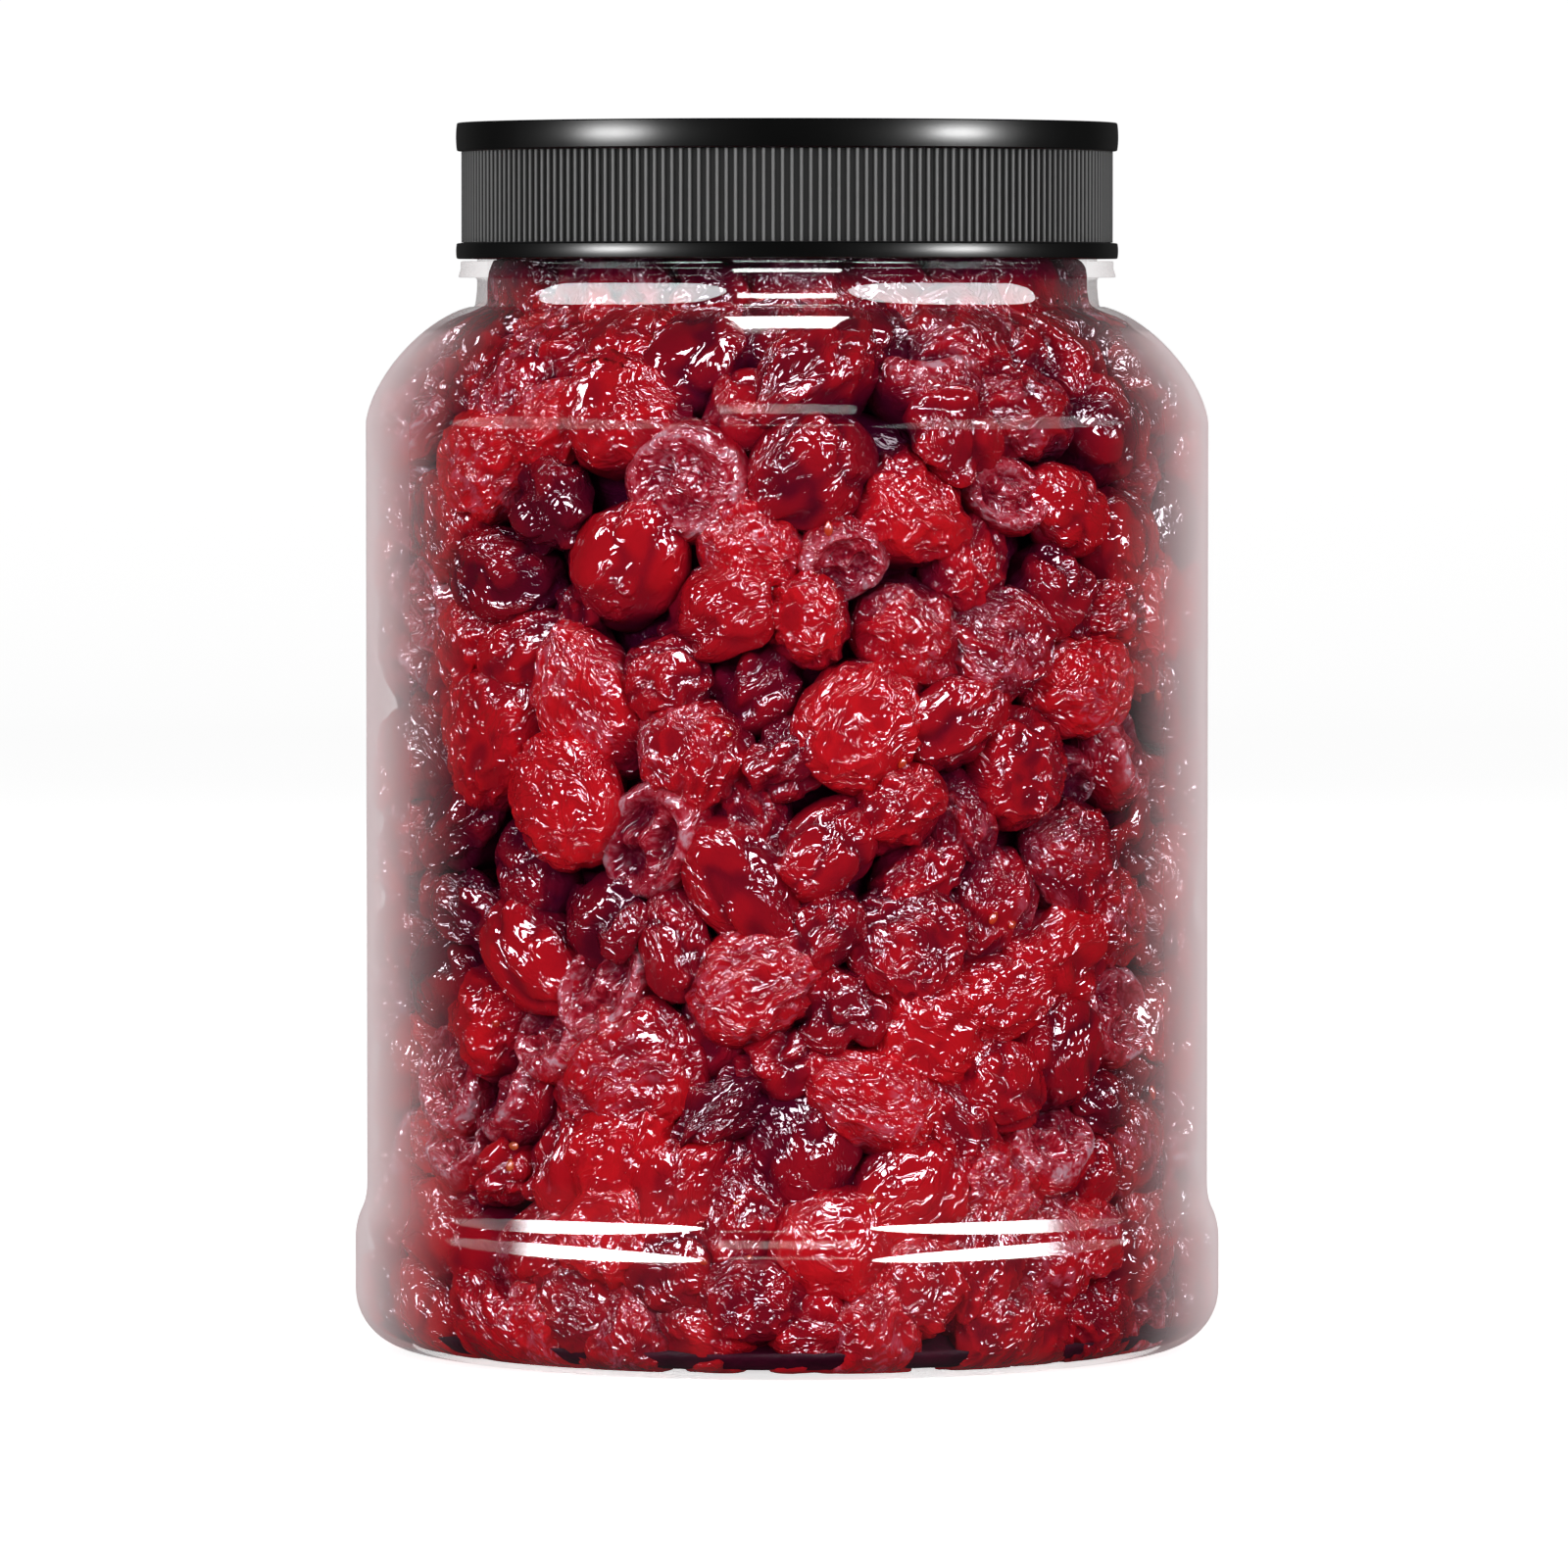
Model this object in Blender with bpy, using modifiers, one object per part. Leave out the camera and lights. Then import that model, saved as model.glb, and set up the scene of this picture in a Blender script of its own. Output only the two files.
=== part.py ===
"""A clear wide-mouth plastic jar with a black ribbed screw lid, full of dried cranberries.

Three pieces, in metres, +Z up, with the origin at the centre of the underside that the jar stands on:
jar is the thin clear wall, lid is the screw cap, and cranberries is the heap that fills the jar, a core
with the berries that show through the wall fused onto it.
"""

import math

import bmesh
import bpy
import numpy as np
from mathutils import Matrix, Vector

# Outside of the jar
BODY_RADIUS = 0.0541
FOOT_RADIUS = 0.0556
NECK_RADIUS = 0.0398
COLLAR_RADIUS = 0.0422
BASE_CORNER_RADIUS = 0.0073
STANDING_RING_RADIUS = 0.0360
PUSH_UP_RADIUS = 0.0300
PUSH_UP_HEIGHT = 0.0022

# Heights of the jar's outside above the surface that it stands on
FOOT_TOP_Z = 0.0154
BODY_BOTTOM_Z = 0.0169
BODY_TOP_Z = 0.1185
SHOULDER_TOP_Z = 0.1340
COLLAR_BOTTOM_Z = 0.1372
COLLAR_TOP_Z = 0.1393
RIM_Z = 0.1550
SHOULDER_EXPONENT = 1.55

# Wall
WALL = 0.0008
NECK_WALL = 0.0013
JAR_STEPS = 36
CORNER_STEPS = 3
SHOULDER_STEPS = 5

# Lid
LID_RADIUS = 0.0425
LID_INNER_RADIUS = 0.0403
LID_BOTTOM_Z = 0.1396
LID_UNDERSIDE_Z = 0.1553
LID_TOP_Z = 0.1570
LID_EDGE_BEVEL = 0.0006
LID_PANEL_RADIUS = 0.0385
LID_PANEL_DROP = 0.0006
LID_STEPS = 48

# Grip ribs round the lid
RIB_COUNT = 144
RIB_CREST_RADIUS = 0.0418
RIB_ROOT_RADIUS = 0.0413
RIB_SINK = 0.0004
GRIP_BOTTOM_Z = 0.1417
GRIP_TOP_Z = 0.1533

# Berries that show
BERRY_LENGTH = 0.0162
BERRY_WIDTH = 0.0138
BERRY_THICKNESS = 0.0110
BERRY_SIZE_SPREAD = 0.14
BERRY_PITCH = 0.0138
BERRY_SLIDE = 0.0026
BERRY_TILT = math.radians(24)
BERRY_SIDES = 5
BERRY_RINGS = 4
CUT_SHARE = 0.22
CUT_HEIGHT = 0.30
CUT_FLATNESS = 0.1
GOLDEN_ANGLE = math.pi * (3 - math.sqrt(5))
SEED = 7

# Heap
PIECE_GAP = 0.0003
HEAP_GAP = PIECE_GAP + BODY_RADIUS * (1 - math.cos(math.pi / JAR_STEPS))
HEAP_TOP_Z = 0.1425
HEAP_SHOULDER_DROP = 0.0020
HEAP_CORNER_STEPS = 6
HEAP_SHOULDER_STEPS = 12
CORE_INSET = 0.0014
CORE_STEPS = 24
EDGE_SHARES = 6
SEAT_TRIES = 12
KEPT_SHARE = 0.73

MERGE = 0.00001
CREASE = math.radians(35)
BERRY_CREASE = math.radians(50)
PARTS = "jar_of_dried_cranberries"


def clear_scene():
    """Removes whatever the scene holds."""
    for thing in list(bpy.data.objects):
        bpy.data.objects.remove(thing, do_unlink=True)


def collection(name):
    """A new collection in the scene."""
    made = bpy.data.collections.new(name)
    bpy.context.scene.collection.children.link(made)
    return made


def material(name, colour, roughness, alpha=1.0, transmission=0.0):
    """A plain finish, clear where alpha is low."""
    made = bpy.data.materials.new(name)
    made.use_nodes = True
    shader = made.node_tree.nodes["Principled BSDF"]
    shader.inputs["Base Color"].default_value = (*colour, 1.0)
    shader.inputs["Roughness"].default_value = roughness
    shader.inputs["Metallic"].default_value = 0.0
    shader.inputs["Alpha"].default_value = alpha
    shader.inputs["Transmission Weight"].default_value = transmission
    return made


def mesh_object(name, mesh, group, finish=None):
    """An object for a mesh, in a collection, with its material."""
    made = bpy.data.objects.new(name, mesh)
    group.objects.link(made)
    if finish is not None:
        mesh.materials.append(finish)
    return made


def applied(thing):
    """The object with its modifiers worked into its mesh."""
    graph = bpy.context.evaluated_depsgraph_get()
    mesh = bpy.data.meshes.new_from_object(thing.evaluated_get(graph))
    thing.modifiers.clear()
    thing.data = mesh
    return thing


def turned(name, profile, steps, group, finish):
    """A profile of (radius, height) points turned about Z, from axis to axis or closed on itself."""
    points = [(radius, 0.0, height) for radius, height in profile]
    edges = [(i, i + 1) for i in range(len(points) - 1)]
    if points[0][0] > 0 or points[-1][0] > 0:
        edges.append((len(points) - 1, 0))
    mesh = bpy.data.meshes.new(name)
    mesh.from_pydata(points, edges, [])
    made = mesh_object(name, mesh, group, finish)
    screw = made.modifiers.new("turn", "SCREW")
    screw.axis = "Z"
    screw.angle = 2 * math.pi
    screw.steps = steps
    screw.render_steps = steps
    screw.use_merge_vertices = True
    screw.merge_threshold = MERGE
    return applied(made)


def shade_round(thing, crease):
    """Smooth shading with crisp edges past the crease angle."""
    thing.data.shade_smooth()
    thing.data.set_sharp_from_angle(angle=crease)


def base_corner(radius, centre_r, centre_z, steps):
    """Points of the round corner between floor and wall, from the floor outwards and up."""
    turns = [math.pi / 2 * (i / steps - 1) for i in range(steps + 1)]
    return [(centre_r + radius * math.cos(turn), centre_z + radius * math.sin(turn)) for turn in turns]


def shoulder(low_radius, high_radius, low_z, high_z, steps):
    """Points of the shoulder, a superellipse that is upright at the body and runs in to the neck."""
    points = []
    for i in range(steps + 1):
        turn = math.pi / 2 * i / steps
        out = math.cos(turn) ** (2 / SHOULDER_EXPONENT)
        up = math.sin(turn) ** (2 / SHOULDER_EXPONENT)
        points.append((high_radius + (low_radius - high_radius) * out, low_z + (high_z - low_z) * up))
    return points


def cavity_profile():
    """The jar's inside, from the centre of its floor up to the rim."""
    points = [(0.0, PUSH_UP_HEIGHT + WALL), (PUSH_UP_RADIUS, PUSH_UP_HEIGHT + WALL)]
    points.append((STANDING_RING_RADIUS, WALL))
    corner_centre = FOOT_RADIUS - BASE_CORNER_RADIUS
    points += base_corner(BASE_CORNER_RADIUS - WALL, corner_centre, BASE_CORNER_RADIUS, CORNER_STEPS)
    points.append((FOOT_RADIUS - WALL, FOOT_TOP_Z))
    points.append((BODY_RADIUS - WALL, BODY_BOTTOM_Z))
    neck = NECK_RADIUS - NECK_WALL
    points += shoulder(BODY_RADIUS - WALL, neck, BODY_TOP_Z, SHOULDER_TOP_Z - WALL, SHOULDER_STEPS)
    points.append((neck, RIM_Z))
    return points


def outside_profile():
    """The jar's outside, from the rim down over collar, shoulder, body and foot to the push-up's centre."""
    points = [(0.0, PUSH_UP_HEIGHT), (PUSH_UP_RADIUS, PUSH_UP_HEIGHT), (STANDING_RING_RADIUS, 0.0)]
    corner_centre = FOOT_RADIUS - BASE_CORNER_RADIUS
    points += base_corner(BASE_CORNER_RADIUS, corner_centre, BASE_CORNER_RADIUS, CORNER_STEPS)
    points.append((FOOT_RADIUS, FOOT_TOP_Z))
    points.append((BODY_RADIUS, BODY_BOTTOM_Z))
    points += shoulder(BODY_RADIUS, NECK_RADIUS, BODY_TOP_Z, SHOULDER_TOP_Z, SHOULDER_STEPS)
    points.append((NECK_RADIUS, COLLAR_BOTTOM_Z))
    points.append((COLLAR_RADIUS, COLLAR_BOTTOM_Z))
    points.append((COLLAR_RADIUS, COLLAR_TOP_Z))
    points.append((NECK_RADIUS, COLLAR_TOP_Z))
    points.append((NECK_RADIUS, RIM_Z))
    return points[::-1]


def make_jar(group):
    """The clear jar: one thin wall with a foot band, straight body, sloping shoulder and collared neck."""
    clear = material("clear_plastic", (0.93, 0.94, 0.95), 0.05, alpha=0.3, transmission=0.9)
    jar = turned("jar", cavity_profile() + outside_profile(), JAR_STEPS, group, clear)
    shade_round(jar, CREASE)


def ring_spline(curve, radii, count, first_turn):
    """A closed outline round the axis, whose corners take the radii in turn."""
    outline = curve.splines.new("POLY")
    outline.points.add(count - 1)
    for i, point in enumerate(outline.points):
        turn = first_turn + 2 * math.pi * i / count
        radius = radii[i % len(radii)]
        point.co = (radius * math.cos(turn), radius * math.sin(turn), 0.0, 1.0)
    outline.use_cyclic_u = True


def make_ribs(group):
    """The ring of grip ribs: a toothed outline with a round hole, extruded over the height of the grip."""
    curve = bpy.data.curves.new("ribs", "CURVE")
    curve.dimensions = "2D"
    curve.fill_mode = "BOTH"
    curve.extrude = (GRIP_TOP_Z - GRIP_BOTTOM_Z) / 2 + RIB_SINK
    ring_spline(curve, (RIB_ROOT_RADIUS, RIB_CREST_RADIUS), 2 * RIB_COUNT, 0.0)
    ring_spline(curve, ((LID_INNER_RADIUS + RIB_ROOT_RADIUS) / 2,), LID_STEPS, math.pi / LID_STEPS)
    drawn = bpy.data.objects.new("ribs_outline", curve)
    group.objects.link(drawn)
    drawn.location.z = (GRIP_TOP_Z + GRIP_BOTTOM_Z) / 2
    bpy.context.view_layer.update()
    graph = bpy.context.evaluated_depsgraph_get()
    mesh = bpy.data.meshes.new_from_object(drawn.evaluated_get(graph))
    place = drawn.matrix_world.copy()
    bpy.data.objects.remove(drawn)
    welded = bmesh.new()
    welded.from_mesh(mesh)
    bmesh.ops.remove_doubles(welded, verts=welded.verts, dist=MERGE)
    bmesh.ops.recalc_face_normals(welded, faces=welded.faces)
    welded.to_mesh(mesh)
    welded.free()
    ribs = mesh_object("ribs", mesh, group)
    ribs.matrix_world = place
    ribs.hide_render = True
    ribs.display_type = "WIRE"
    return ribs


def lid_profile():
    """The lid without its ribs: the top with its shallow panel, the two bands and the hollow underneath."""
    recess = (RIB_ROOT_RADIUS + LID_INNER_RADIUS) / 2 + RIB_SINK
    panel_z = LID_TOP_Z - LID_PANEL_DROP
    top = [(0.0, panel_z), (LID_PANEL_RADIUS, panel_z), (LID_PANEL_RADIUS + LID_PANEL_DROP, LID_TOP_Z)]
    edge = [(LID_RADIUS - LID_EDGE_BEVEL, LID_TOP_Z), (LID_RADIUS, LID_TOP_Z - LID_EDGE_BEVEL)]
    grip = [(LID_RADIUS, GRIP_TOP_Z), (recess, GRIP_TOP_Z), (recess, GRIP_BOTTOM_Z)]
    skirt = [(LID_RADIUS, GRIP_BOTTOM_Z), (LID_RADIUS, LID_BOTTOM_Z), (LID_INNER_RADIUS, LID_BOTTOM_Z)]
    hollow = [(LID_INNER_RADIUS, LID_UNDERSIDE_Z), (0.0, LID_UNDERSIDE_Z)]
    return top + edge + grip + skirt + hollow


def make_lid(group, cutters):
    """The screw lid, with its ring of ribs joined on."""
    black = material("black_plastic", (0.012, 0.012, 0.013), 0.28)
    lid = turned("lid", lid_profile(), LID_STEPS, group, black)
    ribs = make_ribs(cutters)
    union = lid.modifiers.new("ribs", "BOOLEAN")
    union.operation = "UNION"
    union.solver = "EXACT"
    union.object = ribs
    applied(lid)
    bpy.data.objects.remove(ribs)
    shade_round(lid, CREASE)


def guide_profile():
    """Where the middles of the berries lie: the cavity moved in by half a berry, with a flat top."""
    inset = BERRY_THICKNESS / 2 + HEAP_GAP
    wall = BODY_RADIUS - WALL - inset
    neck = NECK_RADIUS - NECK_WALL - inset
    floor = WALL + PUSH_UP_HEIGHT + inset
    corner_radius = BASE_CORNER_RADIUS
    points = [(0.0, floor)]
    points += base_corner(corner_radius, wall - corner_radius, floor + corner_radius, HEAP_CORNER_STEPS)
    slope_low = BODY_TOP_Z - HEAP_SHOULDER_DROP
    slope_high = SHOULDER_TOP_Z - WALL - HEAP_SHOULDER_DROP
    points += shoulder(wall, neck, slope_low, slope_high, HEAP_SHOULDER_STEPS)
    points += [(neck, HEAP_TOP_Z - inset), (0.0, HEAP_TOP_Z - inset)]
    return np.array(points)


def loose_places(profile, pitch, draw):
    """Places spread over a turned surface: equal shares of its area, a golden angle apart, slid at random.

    Returns pairs: the place on the surface, and the outward direction there.
    """
    run = np.hypot(*np.diff(profile, axis=0).T)
    middle_radius = (profile[1:, 0] + profile[:-1, 0]) / 2
    area = np.concatenate([[0.0], np.cumsum(2 * math.pi * middle_radius * run)])
    count = round(area[-1] / pitch**2)
    pairs = []
    for i in range(count):
        share = area[-1] * (i + 0.5) / count
        k = int(np.searchsorted(area, share)) - 1
        near, far = profile[k], profile[k + 1]
        radius, height = near + (far - near) * (share - area[k]) / (area[k + 1] - area[k])
        along = (far - near) / np.hypot(*(far - near))
        slide_along, slide_round = draw.uniform(-BERRY_SLIDE, BERRY_SLIDE, 2)
        spin = Matrix.Rotation(i * GOLDEN_ANGLE, 4, "Z")
        place = Vector((radius + slide_along * along[0], slide_round, height + slide_along * along[1]))
        pairs.append((spin @ place, spin @ Vector((along[1], 0.0, -along[0]))))
    return pairs


def berry_shape(length, width, thickness, is_cut):
    """A coarse dried berry about the origin, thin along Z; a cut one has a flat top."""
    shape = bmesh.new()
    bmesh.ops.create_uvsphere(shape, u_segments=BERRY_SIDES, v_segments=BERRY_RINGS, radius=0.5)
    for vert in shape.verts:
        if is_cut and vert.co.z > CUT_HEIGHT:
            vert.co.z = CUT_HEIGHT + CUT_FLATNESS * (vert.co.z - CUT_HEIGHT)
        vert.co = Vector((vert.co.x * length, vert.co.y * width, vert.co.z * thickness))
    return shape


def wall_distance(spot, cavity):
    """How far a point is inside the cavity's turned wall, negative outside, and the way back in."""
    flat = np.array((math.hypot(spot.x, spot.y), spot.z))
    near, far = cavity[:-1], cavity[1:]
    along = far - near
    length = np.hypot(*along.T)
    t = np.clip(((flat - near) * along).sum(1) / length**2, 0, 1)
    foot = near + along * t[:, None]
    gap = np.hypot(*(flat - foot).T)
    k = int(gap.argmin())
    inward = np.array((-along[k][1], along[k][0])) / length[k]
    return math.copysign(gap[k], float(np.dot(flat - foot[k], inward))), inward


def surface_spots(shape):
    """Points all over a coarse shape: its corners, the middles of its faces and shares of its edges."""
    spots = [vert.co for vert in shape.verts] + [face.calc_center_median() for face in shape.faces]
    for edge in shape.edges:
        near, far = edge.verts
        spots += [near.co.lerp(far.co, share / EDGE_SHARES) for share in range(1, EDGE_SHARES)]
    return spots


def seat(shape, cavity):
    """Moves a berry in until all of it keeps the heap's gap to the wall; says whether it found room."""
    for _ in range(SEAT_TRIES):
        found = [(*wall_distance(spot, cavity), spot) for spot in surface_spots(shape)]
        depth, inward, spot = min(found, key=lambda entry: entry[0])
        if depth >= HEAP_GAP:
            return True
        reach = max(math.hypot(spot.x, spot.y), MERGE)
        step = (HEAP_GAP + MERGE - depth) * inward
        push = Vector((spot.x / reach * step[0], spot.y / reach * step[0], step[1]))
        bmesh.ops.translate(shape, verts=shape.verts, vec=push)
    return False


def make_berries(group):
    """The berries that show, one object each, laid over the guide profile and seated clear of the wall."""
    draw = np.random.default_rng(SEED)
    cavity = np.array(cavity_profile())
    for place, out in loose_places(guide_profile(), BERRY_PITCH, draw):
        size = 1 + BERRY_SIZE_SPREAD * draw.uniform(-1, 1, 3)
        is_cut = draw.random() < CUT_SHARE
        shape = berry_shape(BERRY_LENGTH * size[0], BERRY_WIDTH * size[1], BERRY_THICKNESS * size[2], is_cut)
        spin, lean_way = draw.uniform(0, 2 * math.pi, 2)
        lean = BERRY_TILT * draw.random()
        turn = out.to_track_quat("Z", "Y").to_matrix().to_4x4()
        turn @= Matrix.Rotation(lean, 4, (math.cos(lean_way), math.sin(lean_way), 0))
        turn @= Matrix.Rotation(spin, 4, "Z")
        bmesh.ops.transform(shape, matrix=Matrix.Translation(place) @ turn, verts=shape.verts)
        if seat(shape, cavity):
            mesh = bpy.data.meshes.new("berry")
            shape.to_mesh(mesh)
            mesh_object("berry", mesh, group)
        shape.free()


def keep_outer_shell(mesh):
    """Drops the hollows that the fusing sealed and any loose scrap, and keeps the one outer surface."""
    shape = bmesh.new()
    shape.from_mesh(mesh)
    unseen = set(shape.verts)
    shells = []
    while unseen:
        todo = [unseen.pop()]
        shell = set(todo)
        while todo:
            for edge in todo.pop().link_edges:
                for vert in edge.verts:
                    if vert in unseen:
                        unseen.discard(vert)
                        shell.add(vert)
                        todo.append(vert)
        shells.append(shell)
    largest = max(shells, key=len)
    spare = [vert for shell in shells if shell is not largest for vert in shell]
    bmesh.ops.delete(shape, geom=spare, context="VERTS")
    shape.to_mesh(mesh)
    shape.free()


def make_heap(group, cutters):
    """The heap: a turned core with the berries fused on by one union, then thinned to fewer faces."""
    red = material("dried_cranberry", (0.42, 0.012, 0.018), 0.22)
    core = [(max(radius - CORE_INSET, 0.0), height) for radius, height in guide_profile()[::-1]]
    heap = turned("cranberries", core, CORE_STEPS, group, red)
    make_berries(cutters)
    union = heap.modifiers.new("berries", "BOOLEAN")
    union.operation = "UNION"
    union.operand_type = "COLLECTION"
    union.collection = cutters
    union.solver = "EXACT"
    applied(heap)
    for berry in list(cutters.objects):
        bpy.data.objects.remove(berry)
    keep_outer_shell(heap.data)
    fewer = heap.modifiers.new("fewer", "DECIMATE")
    fewer.ratio = KEPT_SHARE
    applied(heap)
    shade_round(heap, BERRY_CREASE)


def main():
    """Builds the jar, its lid and its heap of berries."""
    clear_scene()
    parts = collection(PARTS)
    cutters = collection("cutters")
    cutters.hide_render = True
    make_jar(parts)
    make_lid(parts, cutters)
    make_heap(parts, cutters)


main()
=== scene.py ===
"""Looks of a shut clear jar of dried cranberries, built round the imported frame.

The jar, its lid and the heap of berries are each a class that builds finished meshes in place of the plain
solids. Lengths are in metres in the frame's own axes: +Z up, the viewer towards -Y, the origin under the jar.
"""

import sys
import logging
import math
from collections.abc import Iterable
from dataclasses import dataclass, field
from enum import Enum

import bmesh
import bpy
import numpy as np
from mathutils import Matrix, Quaternion, Vector


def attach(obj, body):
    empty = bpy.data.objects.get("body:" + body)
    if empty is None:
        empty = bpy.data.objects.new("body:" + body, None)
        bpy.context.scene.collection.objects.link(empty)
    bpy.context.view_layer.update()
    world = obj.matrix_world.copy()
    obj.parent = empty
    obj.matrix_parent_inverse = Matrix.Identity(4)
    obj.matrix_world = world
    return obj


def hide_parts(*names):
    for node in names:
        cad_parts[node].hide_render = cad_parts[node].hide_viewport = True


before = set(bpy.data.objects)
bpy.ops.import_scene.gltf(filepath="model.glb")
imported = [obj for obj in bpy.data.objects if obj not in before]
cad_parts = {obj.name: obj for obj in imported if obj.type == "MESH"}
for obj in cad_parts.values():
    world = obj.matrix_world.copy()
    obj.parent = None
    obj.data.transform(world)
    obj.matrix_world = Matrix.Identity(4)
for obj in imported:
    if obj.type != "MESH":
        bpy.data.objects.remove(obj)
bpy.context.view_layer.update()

log = logging.getLogger("jar")
ROOT = "root"
WHITE = (1.0, 1.0, 1.0)

# Points that are nearer to each other than this are one point.
MERGE = 0.00001
# Extra points on the straight wall, this far from where a curve starts, keep its shading even.
SMOOTHING = (0.0010, 0.0003)
# The push-up's height at its edge, as a share of its height in the middle.
PUSH_UP_RIM = 0.88

Point = tuple[float, float]
Place = tuple[float, float, float]
Colour = tuple[float, float, float]
Socket = bpy.types.NodeSocket
Inputs = dict[str | int, object]
Draw = np.random.Generator


class Slot(Enum):
    """The record's material slots."""

    CLEAR = "clear_plastic"
    BLACK = "black_plastic"
    BERRY = "dried_cranberry"


class Kind(Enum):
    """The sorts of dried cranberry in the heap."""

    PLUMP = "plump_berries"
    WRINKLED = "wrinkled_berries"
    CREASED = "creased_berries"
    FROSTED = "frosted_berries"
    CUT = "cut_berries"
    INNER = "inner_berries"


class Lit(Enum):
    """Which pieces a reflector is set up for."""

    JAR = "seen_in_the_jar"
    LID = "seen_in_the_lid"
    BERRIES = "seen_in_the_berries"


class Wiring:
    """Adds nodes to a node tree and links them, with plain values going straight to their sockets."""

    def __init__(self, tree: bpy.types.NodeTree) -> None:
        """Keeps the tree that the nodes go into.

        Args:
            tree: a shader or geometry node tree.
        """
        self.tree = tree

    def node(self, kind: str, inputs: Inputs | None = None, **settings: object) -> bpy.types.Node:
        """Adds one node.

        Args:
            kind: the node's type name.
            inputs: a socket or value for each input, by the input's name or number.
            settings: the node's own properties.

        Returns:
            The new node.
        """
        made = self.tree.nodes.new(kind)
        for name, value in settings.items():
            setattr(made, name, value)
        for name, value in (inputs or {}).items():
            self.feed(made.inputs[name], value)
        return made

    def feed(self, target: Socket, value: object) -> None:
        """Links a socket to an input, or sets the input's value.

        Args:
            target: the input socket.
            value: an output socket, or a plain value.
        """
        if isinstance(value, Socket):
            self.tree.links.new(value, target)
        else:
            target.default_value = value

    def math(self, operation: str, a: object, b: object = 0.0, clamp: bool = False) -> Socket:
        """One sum on numbers.

        Args:
            operation: the Math node's operation.
            a: the first value.
            b: the second value.
            clamp: True to keep the result from 0 to 1.

        Returns:
            The result's socket.
        """
        return self.node("ShaderNodeMath", {0: a, 1: b}, operation=operation, use_clamp=clamp).outputs[0]

    def times(self, a: object, b: object) -> Socket:
        """One number times another."""
        return self.math("MULTIPLY", a, b)

    def plus(self, a: object, b: object) -> Socket:
        """One number plus another."""
        return self.math("ADD", a, b)

    def vector(self, operation: str, a: object, b: object = (0.0, 0.0, 0.0)) -> Socket:
        """One sum on vectors.

        Args:
            operation: the Vector Math node's operation.
            a: the first vector.
            b: the second vector, or the number to scale by.

        Returns:
            The result's socket.
        """
        second: str | int = "Scale" if operation == "SCALE" else 1
        made = self.node("ShaderNodeVectorMath", {0: a, second: b}, operation=operation)
        return made.outputs["Value" if operation in ("LENGTH", "DOT_PRODUCT") else "Vector"]

    def noise(self, place: object, scale: object, detail: float = 2.0, colour: bool = False) -> Socket:
        """Cloudy noise.

        Args:
            place: where to read it.
            scale: how fine it is.
            detail: how many finer layers it has.
            colour: True for three numbers in place of one.

        Returns:
            The noise's socket, about 0.5 on average.
        """
        made = self.node("ShaderNodeTexNoise", {"Vector": place, "Scale": scale, "Detail": detail})
        return made.outputs["Color" if colour else 0]

    def cells(self, place: object, scale: object) -> Socket:
        """Cell noise.

        Args:
            place: where to read it.
            scale: how many cells fit in one unit.

        Returns:
            The socket of the distance to the middle of the nearest cell.
        """
        return self.node("ShaderNodeTexVoronoi", {"Vector": place, "Scale": scale}).outputs["Distance"]

    def ramp(self, value: object, stops: Iterable[tuple[float, Colour]]) -> Socket:
        """A colour for each value.

        Args:
            value: the number that picks the colour.
            stops: pairs of a place from 0 to 1 and the colour there.

        Returns:
            The colour's socket.
        """
        made = self.node("ShaderNodeValToRGB", {0: value})
        elements = made.color_ramp.elements
        for i, (place, colour) in enumerate(stops):
            element = elements[i] if i < 2 else elements.new(place)
            element.position = place
            element.color = (*colour, 1.0)
        return made.outputs["Color"]

    def remap(self, value: object, low: float, high: float, to_low: float = 0.0,
              to_high: float = 1.0) -> Socket:
        """A number moved from one range to another, kept inside it, with soft ends.

        Args:
            value: the number.
            low: where the first range starts.
            high: where the first range ends.
            to_low: what low becomes.
            to_high: what high becomes.

        Returns:
            The result's socket.
        """
        inputs = {"Value": value, "From Min": low, "From Max": high, "To Min": to_low, "To Max": to_high}
        made = self.node("ShaderNodeMapRange", inputs, interpolation_type="SMOOTHSTEP")
        return made.outputs["Result"]

    def blend(self, share: object, a: object, b: object) -> Socket:
        """Two colours mixed.

        Args:
            share: how much of b shows.
            a: the first colour.
            b: the second colour.

        Returns:
            The colour's socket.
        """
        made = self.node("ShaderNodeMix", data_type="RGBA")
        for number, value in ((0, share), (6, a), (7, b)):
            if isinstance(value, tuple) and len(value) == 3:
                value = (*value, 1.0)
            self.feed(made.inputs[number], value)
        return made.outputs[2]

    def place(self) -> Socket:
        """The place on the piece, in the piece's own coordinates."""
        return self.node("ShaderNodeTexCoord").outputs["Object"]

    def parts(self, vector: Socket) -> dict[str, Socket]:
        """The X, Y and Z of a vector, by name."""
        return self.node("ShaderNodeSeparateXYZ", {0: vector}).outputs

    def facing(self, **inputs: object) -> Socket:
        """How far a face is looked along: 0 where it is seen straight on, 1 at its edge."""
        return self.node("ShaderNodeLayerWeight", {"Blend": 0.5, **inputs}).outputs["Facing"]

    def bump(self, height: Socket, distance: float, strength: float = 1.0) -> Socket:
        """Relief in the shading.

        Args:
            height: the relief, from 0 to 1.
            distance: how high 1 is.
            strength: how much of the relief shows.

        Returns:
            The normal's socket.
        """
        inputs = {"Strength": strength, "Distance": distance, "Height": height}
        return self.node("ShaderNodeBump", inputs).outputs[0]

    def mix_shaders(self, share: object, a: Socket, b: Socket) -> Socket:
        """Two shaders mixed, with the share of the second."""
        return self.node("ShaderNodeMixShader", {0: share, 1: a, 2: b}).outputs[0]

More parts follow.
